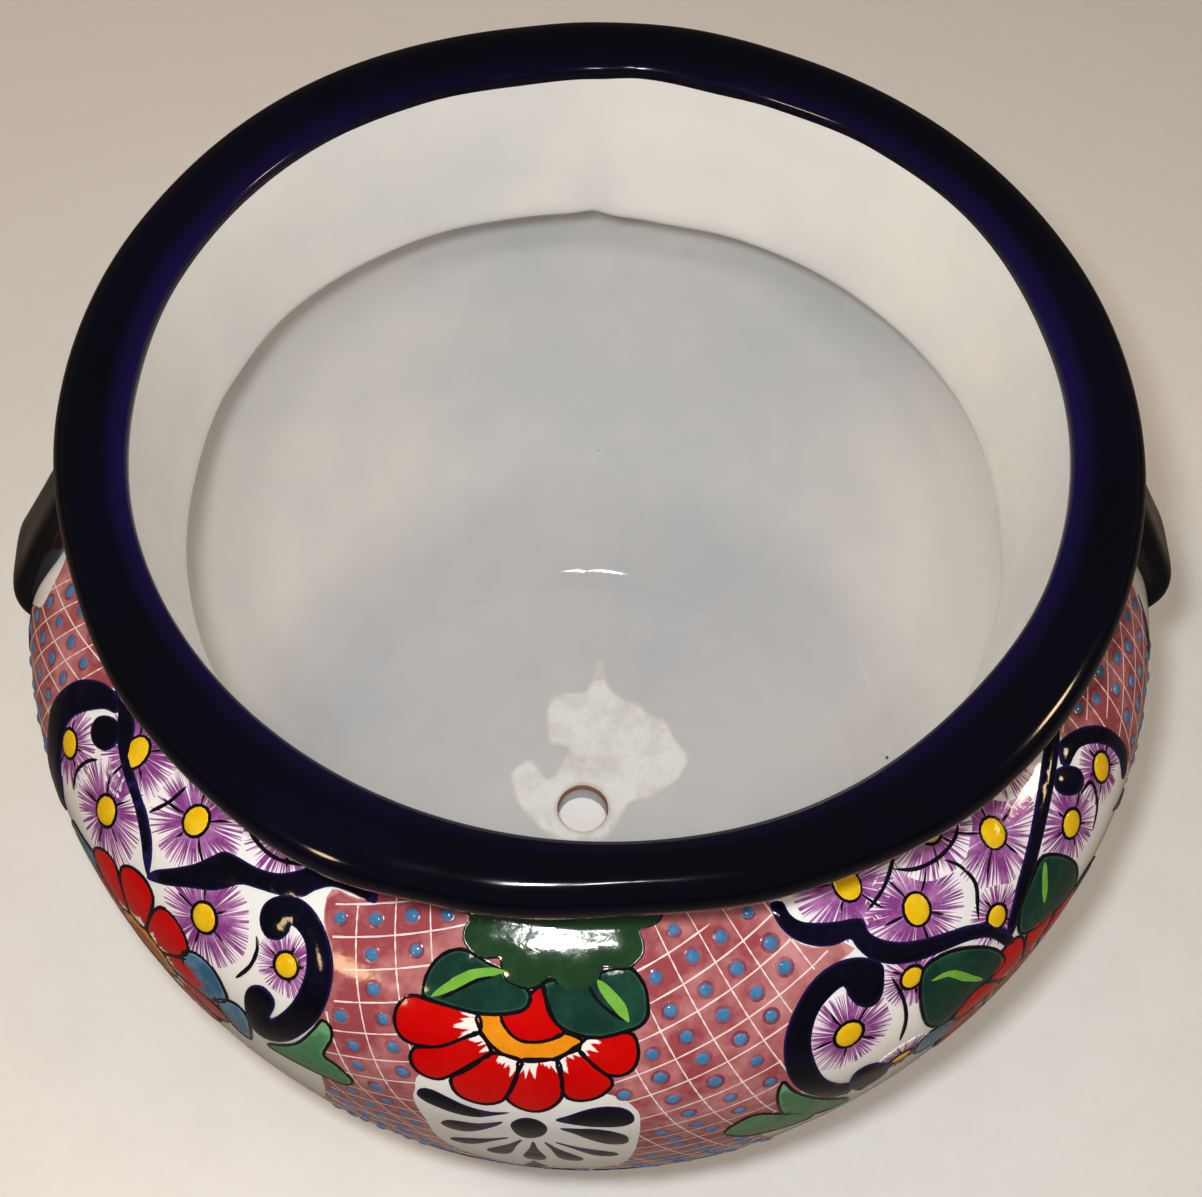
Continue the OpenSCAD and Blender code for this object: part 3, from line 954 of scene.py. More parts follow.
lilac = glaze("lilac_strokes", tone(128, 58, 128), tone(184, 124, 178), patches=120.0, pooling=0.8)
daisies = Sheet("daisies", brushed(lilac, 20.0, 0.42, 1.3, 0.34, 0.05, tone(238, 230, 234)))
red_glaze = glaze("petal_red", tone(190, 3, 4), tone(204, 24, 12), patches=50.0, pooling=0.35)
reds = Sheet("red_petals", brushed(red_glaze, 10.0, 2.5, 1.5, 0.12, 0.03, tone(238, 230, 226)))
print("paint sheets ready")

# %% [markdown]
# ## Lattice
# Rose-pink panels fill the space between the flowers: at the front and back, and round the ears.
# A thin wash is laid first, then a white net scratched through it, and a raised blue dot in each
# mesh of the net. Lines are cut to the panel, and dots keep clear of what is painted over it.

# %% Panels
FRONT_PANEL = [
    (-24, -46), (-24.5, -20), (-25.5, 11), (-29.5, 15), (-28.8, 26), (-27.2, 32), (-26.2, 40), (-26, 50),
    (-26.3, 60), (-26.6, 72), (-26, 90), (-26, 112), (-27, 140), (-29, 168), (-30, 186), (-18, 190),
    (-6, 191), (8, 190), (21, 186), (19, 168), (16.5, 140), (16, 112), (18.6, 88), (18, 77), (17.2, 65),
    (17.4, 53), (18.7, 43), (21, 36.5), (24, 33), (26, 31), (25, 27), (22, 25), (20, 19), (19.3, 10),
    (18.4, -20), (18, -46)]
EAR_PANEL = [
    (-121.5, -46), (-120.5, 0), (-119.3, 20), (-120.5, 27), (-117.5, 34), (-115.8, 42), (-114.6, 53),
    (-114.2, 65), (-114, 100), (-113, 150), (-112, 186), (-90, 190), (-69, 186), (-68, 150), (-67, 110),
    (-67.5, 80), (-68.4, 60), (-68.4, 45), (-67.5, 33), (-65, 24), (-65, 0), (-66, -46)]
EAR_BARE = [
    (-84, 37), (-81.5, 47), (-80.8, 55), (-82, 62), (-86, 80), (-92, 84), (-98, 78), (-99, 62), (-97, 48),
    (-93, 40), (-88, 36)]
for panel in (FRONT_PANEL, EAR_PANEL):
    daub(pink, panel, lift=0.10, crown=0.05, soft=1.0, cell=5.0, step=4.0)


# Each net: its panel, degrees from line to line, mm down a line per degree round, mm from line to
# line the other way, mm that such a line climbs per degree, and a seed.
NETS = ((FRONT_PANEL, 4.15, 9.0, 12.4, 1.5, 3), (EAR_PANEL, 3.1, -22.0, 11.8, 1.4, 4))
ROWS, BEFORE = range(-20, 40), 10


def panel_run(panel, across):
    """A panel's outline, the degrees at which it starts and ends, and numbers for its lines down."""
    loop = rows_of(soft_path(panel, 4.0))
    left, right = loop[:, 0].min() / MM_PER_DEGREE, loop[:, 0].max() / MM_PER_DEGREE
    return loop, left, right, range(-8, int((right - left) / across) + 30)


def net(panel, across, slope, down, tilt, seed):
    """White lines in two directions, cut to a panel."""
    loop, left, right, lines = panel_run(panel, across)
    draw, runs = random.Random(seed), []
    for k in lines:
        start = left + across * (k + 0.12 * draw.random()) - BEFORE
        runs.append([(start + d / slope, d) for d in np.arange(-44, 191, 4.0)])
    for k in ROWS:
        start = down * (k + 0.10 * draw.random())
        runs.append([(x, start - tilt * x) for x in np.arange(left, right, 1.1)])
    for run in runs:
        flags = within(rows_of(to_flat(m) for m in run), loop)
        kept = []
        for mark, flag in list(zip(run, flags)) + [(None, False)]:
            if flag:
                kept.append(mark)
            elif kept:
                if len(kept) > 2:
                    line(grid_lines, kept, 0.8, 0.16, taper=0, step=5.0, seed=len(grid_lines.points))
                kept = []


for panel in NETS:
    net(*panel)

# %% [markdown]
# ## The front flower
# Under the rim a dark green flower hangs over the shoulder, with two leaves and half a red flower
# below it. The outlines follow the brushwork, so they are given as marks and not as circles.

# %% Flower outlines
LEAF_LEFT = [
    (-17, 36.2), (-17.2, 31.9), (-16.9, 25.9), (-16.1, 21.3), (-15, 18.7), (-13.7, 18), (-11.6, 20.3),
    (-9, 23.5), (-6.9, 28), (-6.9, 32.2), (-7.6, 34.6), (-8.9, 36.1), (-10.4, 37.3), (-12.2, 37.8),
    (-14, 37.5), (-15.6, 37.2)]
LEAF_RIGHT = [
    (-5.6, 24.5), (-5.3, 29.5), (-4.8, 34.3), (-4, 37.9), (-2.8, 40.4), (-1.3, 41.9), (0.3, 42), (2, 40.5),
    (3.7, 38.6), (4.5, 35.2), (4.6, 30.7), (4.4, 25.2), (3.6, 20.6), (2.7, 18.7), (0.8, 19.3), (-1.2, 21.3),
    (-3.7, 22.3)]
PETALS = [
    [(-11.5, 38.4), (-14.6, 37.4), (-16.3, 37.5), (-17.6, 37.1), (-18.7, 39.1), (-19.2, 43.6),
     (-19.1, 48.8), (-18.4, 53.3), (-17.3, 55.2), (-15.7, 54.6), (-14.3, 52.7), (-12.7, 48.2), (-11.2, 44.6)],
    [(-11.2, 44.6), (-12.7, 48.2), (-14.3, 52.7), (-15.7, 54.9), (-16.8, 56.6), (-17.1, 60.9),
     (-16.7, 65.2), (-15.8, 68), (-14.4, 68.4), (-13.3, 65), (-12, 59.6), (-10.8, 54.8), (-9.8, 51.5)],
    [(-9.8, 51.5), (-10.9, 56.3), (-12.1, 61.6), (-13.1, 65.2), (-13.1, 69.5), (-12.5, 74), (-11.4, 76.5),
     (-9.9, 76.8), (-8.8, 74.3), (-8.2, 71), (-7.7, 63.9), (-7.3, 58), (-7.1, 52.6)],
    [(-7.1, 52.6), (-7.3, 59.9), (-7.8, 67.1), (-8.1, 71.2), (-7.4, 74.8), (-6.3, 77.1), (-5.2, 77),
     (-4.1, 73.8), (-3.3, 68.3), (-3.2, 62.6), (-3.4, 57.2), (-3.8, 51.4)],
    [(-3.8, 51.4), (-3.4, 58), (-3.1, 66.1), (-2.2, 69.1), (-0.9, 68.9), (0.3, 66.2), (1.2, 61.3),
     (0.9, 57.6), (-0.1, 54.5), (-1.2, 50), (-1.9, 46.9)],
    [(-1.9, 46.9), (-1, 50.8), (0, 54.5), (0.8, 56.9), (2, 57.3), (3, 54.9), (3.5, 50.4), (3.5, 45.6),
     (3.1, 41.4), (2, 40.5), (0.3, 41.8), (-1.3, 42.6)]]
RING = [
    (-11.6, 38.1), (-11.3, 42.3), (-10.3, 47.1), (-8.9, 50.9), (-7.1, 52.8), (-5.3, 52.2), (-3.6, 49.8),
    (-2.4, 46.2), (-1.6, 43.4), (-3.3, 40.9), (-4.3, 43.2), (-5.8, 45), (-7.3, 45.1), (-8.4, 42.7),
    (-9.2, 39), (-9.4, 37)]
RED_HEART = [
    (-9.4, 37), (-9.2, 39), (-8.4, 42.7), (-7.3, 45.1), (-5.8, 45), (-4.3, 43.2), (-3.3, 40.9), (-4, 37.9),
    (-4.7, 33.5), (-5.2, 28.8), (-5.6, 24.9), (-6.2, 26.4), (-6.8, 28.7), (-6.9, 32.5), (-7.7, 35)]

# %% Paint the front flower
covers = []


def cover(marks):
    """Remember an outline, so that no dot is set inside it."""
    covers.append(rows_of(to_flat(m) for m in marks))


def outlined(sheet, marks, width, lift, **how):
    """A daub with a dark brush line round it, whose place is remembered."""
    daub(sheet, marks, lift, **how)
    line(black, marks, 0.8 * width, lift + 0.24, closed=True, step=2.0, seed=len(covers))
    cover(marks)


def polar(centre, reach, turn):
    """The mark at reach mm from a centre, turn degrees clockwise from straight up."""
    wide = belly_line(centre[1])[0] * math.radians(1)
    turn = math.radians(turn)
    return centre[0] + reach * math.sin(turn) / wide, centre[1] - reach * math.cos(turn)


daub(ground, EAR_BARE, lift=0.2, crown=0.04)
cover(EAR_BARE)
for petal, teeth in zip(PETALS, (14.0, 11.0, 10.5, 10.5, 10.5, 11.5)):
    outlined(reds, petal, 1.6, heart=(-6.4, 37.0, teeth), seed=0.3, lift=0.30, crown=0.40, soft=5.0)
outlined(orange, RING, 1.5, lift=0.36, crown=0.3)
outlined(reds, RED_HEART, 1.5, heart=(-6.4, -40.0, 10.0), lift=0.34, crown=0.3)
LEFT_RIB = [(-16.2, 35.6), (-15.1, 32), (-13.3, 27), (-11.6, 23.8), (-9.6, 22.2)]
LEFT_VEIN = [(-15.3, 35.4), (-13.5, 30.3), (-12.1, 26.6), (-10.6, 24.5)]
RIGHT_RIB = [(-0.3, 22.6), (0.8, 27), (1.9, 31.6), (2.7, 36.7)]
RIGHT_VEIN = [(-1.2, 24.3), (-0.2, 29.4), (1.2, 33.6), (2.3, 36.2)]
for shape, rib, vein in ((LEAF_LEFT, LEFT_RIB, LEFT_VEIN), (LEAF_RIGHT, RIGHT_RIB, RIGHT_VEIN)):
    outlined(leaves, shape, 1.7, lift=0.42, crown=0.45, soft=5.0)
    line(ribs, rib, 4.2, 1.0, taper=0.35)
    line(black, vein, 1.2, 1.08)

# %% Paint the scalloped flower
SCALLOP, LOBES, LOBE_REACH, NOTCH = (-5.0, -9.0), 12, 36.5, 5.2
edge = [polar(SCALLOP, LOBE_REACH - NOTCH * abs(math.cos(math.radians(a * LOBES / 2))) ** 6, a)
        for a in range(0, 360, 5)]
daub(scallop, edge, lift=0.55, crown=1.3, soft=9.0, cell=3.2)
cover(edge)
line(black, edge, 0.9, 0.66, closed=True)
stamp(orange, HEART, SCALLOP[0], SCALLOP[1], 1.5)
print("front flower:", len(covers), "covered outlines")

# %% [markdown]
# ## Brush sprays and scrolls
# Cobalt is laid thickest of all. Teardrops fan out below the red flower on a white ground, and on
# each side heavy scrolls frame the daisies. A scroll is a daub with a high crown, so it catches
# the light along its back like a bead.

# %% Teardrops
# Half widths of a brush touch and of a leaf, from their start to their end.
DROP_SHAPE = ((0, 0.1), (0.3, 0.35), (0.6, 0.8), (0.82, 1.0), (0.96, 0.62), (1.0, 0.0))
LEAF_SHAPE = ((0.0, 0.15), (0.2, 0.75), (0.45, 1.0), (0.7, 0.8), (0.9, 0.35), (1.0, 0.0))


def swept(start, end, width, shape):
    """Outline of a shape laid from start to end, with its flat start, its way and its half width."""
    a = to_flat(start)
    d = to_flat(end) - a
    side = Vector((-d.y, d.x)).normalized() * width / 2
    flat = [a + d * t + side * w for t, w in shape] + [a + d * t - side * w for t, w in shape[-2::-1]]
    return to_marks(flat), a, d, side


def teardrop(start, end, width=8):
    """A cobalt brush touch: a point at start that swells towards end."""
    daub(cobalt, swept(start, end, width, DROP_SHAPE)[0], lift=0.34, crown=0.4)


SPRAY_GROUND = [
    (-15.2, 66), (-16.4, 79), (-16.4, 88), (-15.6, 108), (-15, 130), (-13, 155), (-9, 172), (-5, 176),
    (-0.5, 172), (2.6, 155), (3.6, 128), (3.8, 87), (3.2, 74), (0.7, 66), (-6, 62)]
daub(ground, SPRAY_GROUND, lift=0.2, crown=0.04)
cover(SPRAY_GROUND)
SPRAY = [
    [(-16.2, 80.9), (-15.9, 76.4), (-14.9, 75), (-13.4, 77.3), (-11.5, 80.6), (-9.5, 81.6), (-7.8, 80.2),
     (-9.1, 83.9), (-10.8, 88.2), (-12.7, 88.7), (-14.3, 86.7), (-15.5, 84.4)],
    [(-14.2, 105.7), (-13.5, 98.9), (-12.2, 96.7), (-10.7, 95.1), (-8.4, 88.6), (-9.9, 99.9),
     (-11.7, 108.9), (-13.3, 110.4)],
    [(-3.7, 82.6), (-2.5, 78.3), (-1, 74.4), (0.6, 72.6), (2.2, 73.7), (3.1, 77.9), (3.2, 83.2),
     (2.3, 86.7), (0.5, 87.2), (-1.5, 85.9)],
    [(-3.3, 89.5), (-1.9, 88.8), (-0.1, 89.1), (1.6, 92.5), (2.8, 99.3), (2.8, 108.1), (1.4, 109.3),
     (-0.5, 102.4), (-2, 94.7)],
    [(-7.7, 91.3), (-7.2, 85.1), (-6.2, 82.4), (-5.1, 84), (-4.4, 89.8), (-4.8, 99.1), (-5.9, 104.7),
     (-7, 102.6)]]
for touch in SPRAY:
    daub(cobalt, touch, lift=0.34, crown=0.4)
for start, end in (((-8, 108), (-13.4, 132)), ((-6.8, 109), (-9.6, 142)), ((-5.7, 110), (-5.6, 146)),
                   ((-4.6, 109), (-1.6, 142)), ((-3.6, 108), (2, 130)), ((-5.8, 150), (-5.6, 172))):
    teardrop(start, end)

# %% Scrolls of the left side
LEFT_SCROLLS = [
    [(-62.6, 91.3), (-65, 89.9), (-67.2, 82.4), (-68.4, 68.4), (-69.5, 58.6), (-69.5, 47.2), (-68.7, 37),
     (-67, 29.2), (-65.3, 25.4), (-63.8, 24), (-62.3, 24.2), (-62.4, 27.7), (-63.7, 31.1), (-64.9, 37.6),
     (-65.8, 44.9), (-66, 51.7), (-65.2, 58.5), (-64, 67.3), (-62.8, 76.8)],
    [(-63.3, 39.8), (-63.6, 35.3), (-62.7, 30.5), (-61.3, 28.2), (-60, 30.1), (-59.5, 34), (-60, 38.8),
     (-61.3, 41.7), (-62.4, 41.9)],
    [(-64.7, 24.4), (-64.1, 20.4), (-62.1, 20.6), (-59.5, 23.2), (-58.1, 27.5), (-56.3, 31.5),
     (-53.8, 34.5), (-51.4, 37.8), (-49.4, 42.6), (-48.2, 48.7), (-47.7, 55.4), (-48.8, 52.4),
     (-50.4, 46.3), (-52.9, 40.4), (-55.7, 37.2), (-58.2, 34.2), (-60.5, 30.6), (-62.3, 26.4)],
    [(-47.7, 56.5), (-47.3, 51.1), (-45.4, 43.3), (-43.7, 36), (-42.7, 30.2), (-41.8, 25.6), (-40.2, 24),
     (-37.9, 22.8), (-35.6, 20.1), (-33.8, 15.5), (-32.5, 11.1), (-30.6, 9.8), (-27.9, 9.6), (-25.2, 8.8),
     (-24.6, 13), (-27.7, 13.4), (-29.7, 14.5), (-31.1, 18.4), (-32, 22.5), (-34.1, 25.8), (-36.4, 28.3),
     (-38.3, 30.8), (-39.5, 35.4), (-40.8, 39.8), (-43.2, 45.6), (-45.7, 52.5)],
    [(-34.9, 37), (-35.2, 32.2), (-34.6, 27.5), (-33.1, 23.8), (-31.1, 23.3), (-29, 26.4), (-27.2, 32.3),
     (-26.1, 39.6), (-25.7, 49), (-26.1, 59.9), (-27.3, 70.8), (-29.1, 82.4), (-31.4, 91.2), (-32.8, 89.1),
     (-33.5, 79.2), (-33.8, 69.7), (-33.4, 63.2), (-32.2, 60.1), (-31, 61.9), (-30.6, 66.1), (-30.9, 73.6),
     (-29.9, 67.5), (-29, 58.9), (-28.6, 50.5), (-28.7, 43.2), (-29.5, 36.3), (-30.6, 33.2), (-31.7, 32.5),
     (-31.6, 35.1), (-32.1, 39.2), (-33.3, 41.2), (-34.2, 40)]]

# %% Scrolls of the right side
RIGHT_SCROLLS = [
    [(58.6, 27.2), (60.4, 28.6), (62.7, 33.9), (64.5, 42.4), (65.5, 53.1), (65.9, 64.9), (64.9, 72.2),
     (63.7, 71.7), (64, 61.2), (63.6, 51.1), (62.2, 42), (60.4, 36), (58.7, 35), (57.6, 35.2), (57.1, 31.7)],
    [(55.1, 32.2), (56.4, 31.5), (57.8, 35.4), (58.5, 40.8), (58, 45.3), (56.7, 45.7), (55.2, 41.4),
     (54.5, 36.2)],
    [(60.2, 19.6), (61, 22), (59.1, 26.3), (56.7, 30.2), (54.7, 33.5), (51.9, 38.7), (49, 45.1),
     (46.4, 52.2), (43.9, 60.4), (42.3, 65.9), (41.9, 61.1), (43.5, 52.8), (45.7, 45.4), (48.2, 39.1),
     (50.8, 33.2), (53.9, 27.5), (57.2, 22.2)],
    [(19, 6.3), (20.4, 7.1), (20.7, 11.6), (21.6, 15.3), (23.4, 18), (25.3, 20), (26.9, 21.3), (27.9, 23.3),
     (27.9, 27.3), (28.7, 31.6), (30.6, 36.6), (33.1, 40.5), (35.7, 43.7), (38.4, 47.7), (40.6, 53.9),
     (42, 62.4), (42.5, 70.5), (41.3, 68.3), (39.8, 58.5), (37.5, 52.6), (34.7, 49.4), (31.7, 46.7),
     (29, 42.4), (27.1, 36.8), (26.2, 31.2), (25.8, 27.3), (24.1, 27), (22, 24.5), (20.1, 19.4),
     (19.1, 13.1)],
    [(27.9, 45.4), (28.1, 40.9), (27.3, 37.1), (25.7, 33.9), (23.5, 32.8), (21, 35.4), (18.7, 42.6),
     (17.2, 52.7), (16.9, 64.7), (17.7, 77.4), (19.6, 91.5), (22.3, 108.2), (24.4, 113.3), (24.2, 101.8),
     (22.6, 93.3), (20.8, 81.2), (19.8, 68.3), (19.6, 57.6), (20.5, 48.6), (22, 43.7), (23.7, 41.7),
     (23.9, 45.6), (24.6, 51.1), (26, 54.3), (27.2, 51.8)],
    [(23.9, 102), (24, 88.5), (25.8, 87.5), (27.8, 96.9), (28.4, 114.5), (26.9, 116.6), (25.7, 119.9)]]
for scroll in LEFT_SCROLLS + RIGHT_SCROLLS:
    daub(cobalt, scroll, lift=0.5, crown=0.75, soft=4.0, cell=3.0)
    cover(scroll)
print("scrolls:", len(LEFT_SCROLLS + RIGHT_SCROLLS))

# %% [markdown]
# ## Daisies
# The daisies fill the white between the scrolls. Each is a thin disc of white with lilac strokes,
# a yellow heart in a dark ring, and five dark strokes between its petals. The discs overlap, so
# each is laid a hair higher than the last, as a painter works from one to the next.

# %% Paint the daisies
STROKE_FROM, HEART_EDGE, RING_POINTS = 5.0, 5.3, 14


def daisy(angle, drop, reach, seed, heart=1.0):
    """One daisy of reach mm, all of it from one seed."""
    draw, centre = random.Random(seed), (angle, drop)
    edge = [polar(centre, reach * (0.95 + 0.10 * draw.random()), a) for a in range(0, 360, 20)]
    lift = 0.14 + 0.012 * (seed % 14)
    daub(daisies, edge, lift, crown=0.03, heart=(angle, drop, reach), seed=seed * 0.618, cell=5.0, step=3.0)
    first, squeeze = draw.uniform(0, 72), draw.uniform(0.95, 1.25)
    for k in range(5):
        turn = first + 72 * k + draw.uniform(-12, 12)
        begin, end = STROKE_FROM * heart, draw.uniform(0.55, 0.85) * reach
        bend = polar(centre, (begin + end) / 2, turn + draw.uniform(-4, 4))
        stroke = [polar(centre, begin, turn), bend, polar(centre, end, turn)]
        line(black, stroke, 1.1, lift + 0.16, taper=0.4, seed=seed + k)
    stamp(yellow, HEART, angle, drop, heart, draw.uniform(-0.4, 0.4), squeeze)
    wide = HEART_EDGE * heart
    ring = [(angle + wide * math.sin(a) / 3.5, drop - wide * squeeze * math.cos(a))
            for a in (math.tau * j / RING_POINTS for j in range(RING_POINTS))]
    line(black, ring, 1.25, lift + 0.34, closed=True, step=3.0, seed=seed)


LEFT_DAISIES = [
    (-64.3, 54.7, 15), (-55.6, 52.9, 18), (-57.1, 27.5, 16), (-46.4, 25, 17), (-40.2, 50.4, 17),
    (-30.6, 46.5, 11), (-37.1, 6.6, 15), (-50, 2, 15), (-58.5, 8, 14), (-30, -4, 13)]
RIGHT_DAISIES = [
    (27.9, 10.1, 17), (33.6, 29.8, 17), (45.4, 26.4, 18), (53.9, 51, 15), (61.1, 50.6, 13),
    (41.2, 52.5, 11), (30.6, 51.4, 11), (23.3, 61.7, 15), (29.3, 98, 12), (39.4, 9.8, 15), (52, 8, 15),
    (24, -10, 12)]
NECK_DAISIES = [(-56, -24, 15), (-43, -26, 15), (-31, -30, 13), (27, -30, 13), (38, -24, 15), (50, -26, 15)]
for k, (angle, drop, reach) in enumerate(NECK_DAISIES + LEFT_DAISIES + RIGHT_DAISIES):
    daisy(angle, drop, 1.12 * reach, k + 1, 1.0 if reach > 12 else 0.85)
ARCS = [
    [(-60.8, 65.4), (-61.5, 57.9), (-61, 49.3), (-60, 43.7)],
    [(-51.3, 36.7), (-50.2, 27.9), (-49.9, 19.5)],
    [(-42.5, 12.6), (-40.8, 14.7), (-38.5, 16.4), (-36.1, 16), (-32.9, 11.8)],
    [(-35.1, 64.4), (-34, 54.9), (-33.9, 47), (-34.5, 43.3)],
    [(28.7, 21.4), (31.2, 17.7), (32.9, 13.9), (34.6, 9.2)],
    [(33.4, 13.6), (35.6, 17.9), (38.7, 19.6), (41.7, 17.7), (43.7, 12.4)],
    [(38.9, 21.4), (40.1, 26.8), (40.6, 35.6), (39.6, 43.7), (39.2, 47.9)],
    [(28.6, 46.9), (29.2, 57.7), (29.2, 68.5), (28.5, 79.5)],
    [(56.4, 46.8), (58.8, 48.8), (58.1, 59.4), (56.3, 65.5)]]
for k, arc in enumerate(ARCS):
    line(black, arc, 1.5, 0.46, taper=0.2, seed=k)

# %% [markdown]
# ## Side flowers
# Below the scrolls a full red flower sits on the widest part of the belly, with blue petals and
# green leaves tucked round it. Its petals are alike, so one outline is turned round the heart.

# %% Flower and leaf makers
PETAL_LIFT, LEAF_LIFT = 0.3, 0.34


def flower(sheet, centre, ring_reach, reach, count, first):
    """A round flower of equal petals with an orange ring and a heart."""
    wide = 360 / count
    half = ((ring_reach, 0.12), (0.72 * reach, 0.02), (0.92 * reach, 0.1), (reach, 0.35))
    other = ((reach, 0.65), (0.92 * reach, 0.9), (0.72 * reach, 0.98), (ring_reach, 0.88))
    for k in range(count):
        petal = [polar(centre, far, first + wide * k + wide * t) for far, t in half + other]
        outlined(sheet, petal, 1.5, PETAL_LIFT + 0.01 * (k % 2), heart=(*centre, ring_reach / 1.55),
                 seed=0.1 * k, crown=0.4, soft=5.0)
    for disc_sheet, far, up in ((orange, ring_reach * 1.02, 0.12), (reds, ring_reach * 0.62, 0.2)):
        disc = [polar(centre, far, a) for a in range(0, 360, 20)]
        outlined(disc_sheet, disc, 1.4, PETAL_LIFT + up, heart=(centre[0], centre[1] - 60, 10.0), crown=0.25)


def leaf(start, end, width, pale=False):
    """A leaf from its stalk to its tip, with a light rib, or a dark one on a pale leaf."""
    outline, a, d, side = swept(start, end, width, LEAF_SHAPE)
    outlined(light_green if pale else leaves, outline, 1.4, LEAF_LIFT, crown=0.4, soft=4.0)
    rib = to_marks([a + d * 0.08, a + d * 0.45 + side * 0.12, a + d * 0.85])
    line(black if pale else ribs, rib, 1.1 if pale else 2.6, LEAF_LIFT + 0.52, taper=0.4)


# %% Left and right side flowers
BLUE_PETALS = [
    [(-60.4, 84.9), (-58.7, 82), (-56, 79.1), (-54.7, 80), (-54.2, 92), (-55.5, 103), (-58.5, 105),
     (-60.8, 97)],
    [(-41.3, 72.8), (-39.8, 67.4), (-37.9, 67.9), (-36.4, 73.1), (-35.8, 80.6), (-37.9, 91.9),
     (-39.9, 92.8), (-40.9, 83.1)],
    [(-37, 88), (-35.8, 80.6), (-34.2, 79), (-33.2, 84.7), (-33.4, 97), (-34.1, 109.4), (-35.7, 107)],
    [(31.3, 91.9), (32.9, 88.9), (35, 92), (36.3, 103), (35.6, 112), (33, 114), (31.2, 106)],
    [(52.6, 88), (55, 86), (57.4, 92), (57.6, 104), (55.4, 111), (53.4, 105)]]
for petal in BLUE_PETALS:
    outlined(blue, petal, 1.5, lift=0.30, crown=0.4, soft=4.0)
PALE_LEAVES = [
    [(-31.5, 98.7), (-28.1, 80.3), (-26.5, 66.9), (-25.8, 60.3), (-24.9, 61.7), (-24.6, 67), (-25.2, 78.5),
     (-23.8, 81.6), (-22.4, 89.1), (-23.5, 97.7), (-25.7, 98.8), (-28.2, 99.4)],
    [(16.3, 86.3), (16.7, 74.3), (17.9, 83.4), (20.9, 103.3), (25.2, 131), (22, 132), (18, 112)],
    [(12, 109), (14.2, 96), (17.1, 105.4), (20.8, 122.9), (21, 136), (16, 132), (13, 121)]]
for k, shape in enumerate(PALE_LEAVES):
    outlined(light_green, shape, 1.4, lift=0.32 + 0.05 * k, crown=0.35, soft=4.0)
flower(reds, (-47, 99), 16, 41, 10, 8)
flower(reds, (44, 108), 16, 40, 10, 0)
LEAF_PAIR = (
    ([(31.2, 56.2), (32.1, 50.8), (33.9, 50.1), (36.3, 53), (38.9, 60.1), (40.5, 68.5), (41, 77.4),
      (39.2, 79.6), (36.9, 79.7), (35.2, 85.4), (33.5, 88.5), (31.5, 79.2), (30.9, 66.7)],
     [(32.4, 57.1), (34.4, 59.1), (36, 66), (38, 75)]),
    ([(43.3, 68.1), (44.1, 58), (46.1, 52.6), (48.4, 48.7), (49.8, 51.1), (51.5, 59.3), (52.6, 70),
      (52.3, 80.8), (50.2, 81.8), (47.5, 78.2), (45.1, 74.5)],
     [(48.7, 50.9), (47.9, 56.1), (47, 66)]))
for shape, rib in LEAF_PAIR:
    outlined(leaves, shape, 1.6, lift=0.5, crown=0.45, soft=5.0)
    line(ribs, rib, 3.0, 1.08, taper=0.35)
for start, end in (((-55, 134), (-63, 158)), ((-47, 143), (-47, 174)), ((44, 151), (44, 180)),
                   ((52, 142), (60, 164))):
    leaf(start, end, 14)
for start, end in (((-58, 116), (-65.5, 124)), ((55, 122), (63, 120)), ((61, 78), (65, 92)),
                   ((-60.5, 102), (-65.5, 106)), ((82.6, 52), (78.6, 76)), ((-84, 66), (-80, 84))):
    teardrop(start, end)

# %% [markdown]
# ## Lower belly and foot
# The lower belly turns away under the widest ring. It carries a quieter frieze: a cobalt swag,
# rosettes with leaves on white, a narrow lattice belt, and a cobalt band down to the foot. Rings go
# right round, so they are swept, and the rosettes repeat every 30 degrees.

# %% Rings right round the pot
foot_band = Sheet("cobalt_foot_band", cobalt.material, "cobalt_glaze", halves=False)
belt = Sheet("pink_belt", pink.material, halves=False)


def hoop(sheet, top, bottom, lift, crown, wave=0.0, waves=24):
    """A band of glaze right round the pot between two drops, its upper edge in waves."""
    count, rows = 240, max(3, round((bottom - top) / 5))
    n = rows + 3
    points, faces, inset = [], [], []
    for i in range(count):
        angle = 360 * i / count
        start = top + wave * abs(math.sin(math.radians(angle * waves / 2)))
        for j in range(rows + 1):
            t = j / rows
            high = lift + crown * math.sqrt(max(0.0, 1 - (2 * t - 1) ** 4))
            points.append(spot(angle, start + (bottom - start) * t, high))
            inset.append(min(t, 1 - t) * (bottom - start))
        for t in (1.0, 0.0):
            points.append(spot(angle, start + (bottom - start) * t, SINK))
            inset.append(0.0)
    for i in range(count):
        a, b = n * i, n * ((i + 1) % count)
        faces += [(a + k, a + (k + 1) % n, b + (k + 1) % n, b + k) for k in range(n)]
    sheet.add(points, faces, inset)


BELT_TOP, BELT_MIDDLE, BELT_END, BELT_MESHES, BELT_STEP = 292, 299, 306, 60, 3
hoop(foot_band, BELT_END, TO_FOOT - 0.6, 0.25, 0.15, 4.0, 36)
hoop(foot_band, 288, 291.5, 0.3, 0.3)
hoop(belt, 291, 308, 0.10, 0.03)
for k in range(BELT_MESHES):
    start = -90 + BELT_STEP * k
    for lean in (4.5, -4.5):
        slant = [(start, BELT_TOP), (start + lean / 3, BELT_MIDDLE), (start + lean / 1.5, BELT_END)]
        line(grid_lines, slant, 0.8, 0.17, taper=0, step=6.0, seed=k)
swag = [(-90 + 3.75 * k, 195 + (0, 4.5, 6.5, 4.5)[k % 4]) for k in range(49)]
line(cobalt, swag, 3.4, 0.75, taper=0)

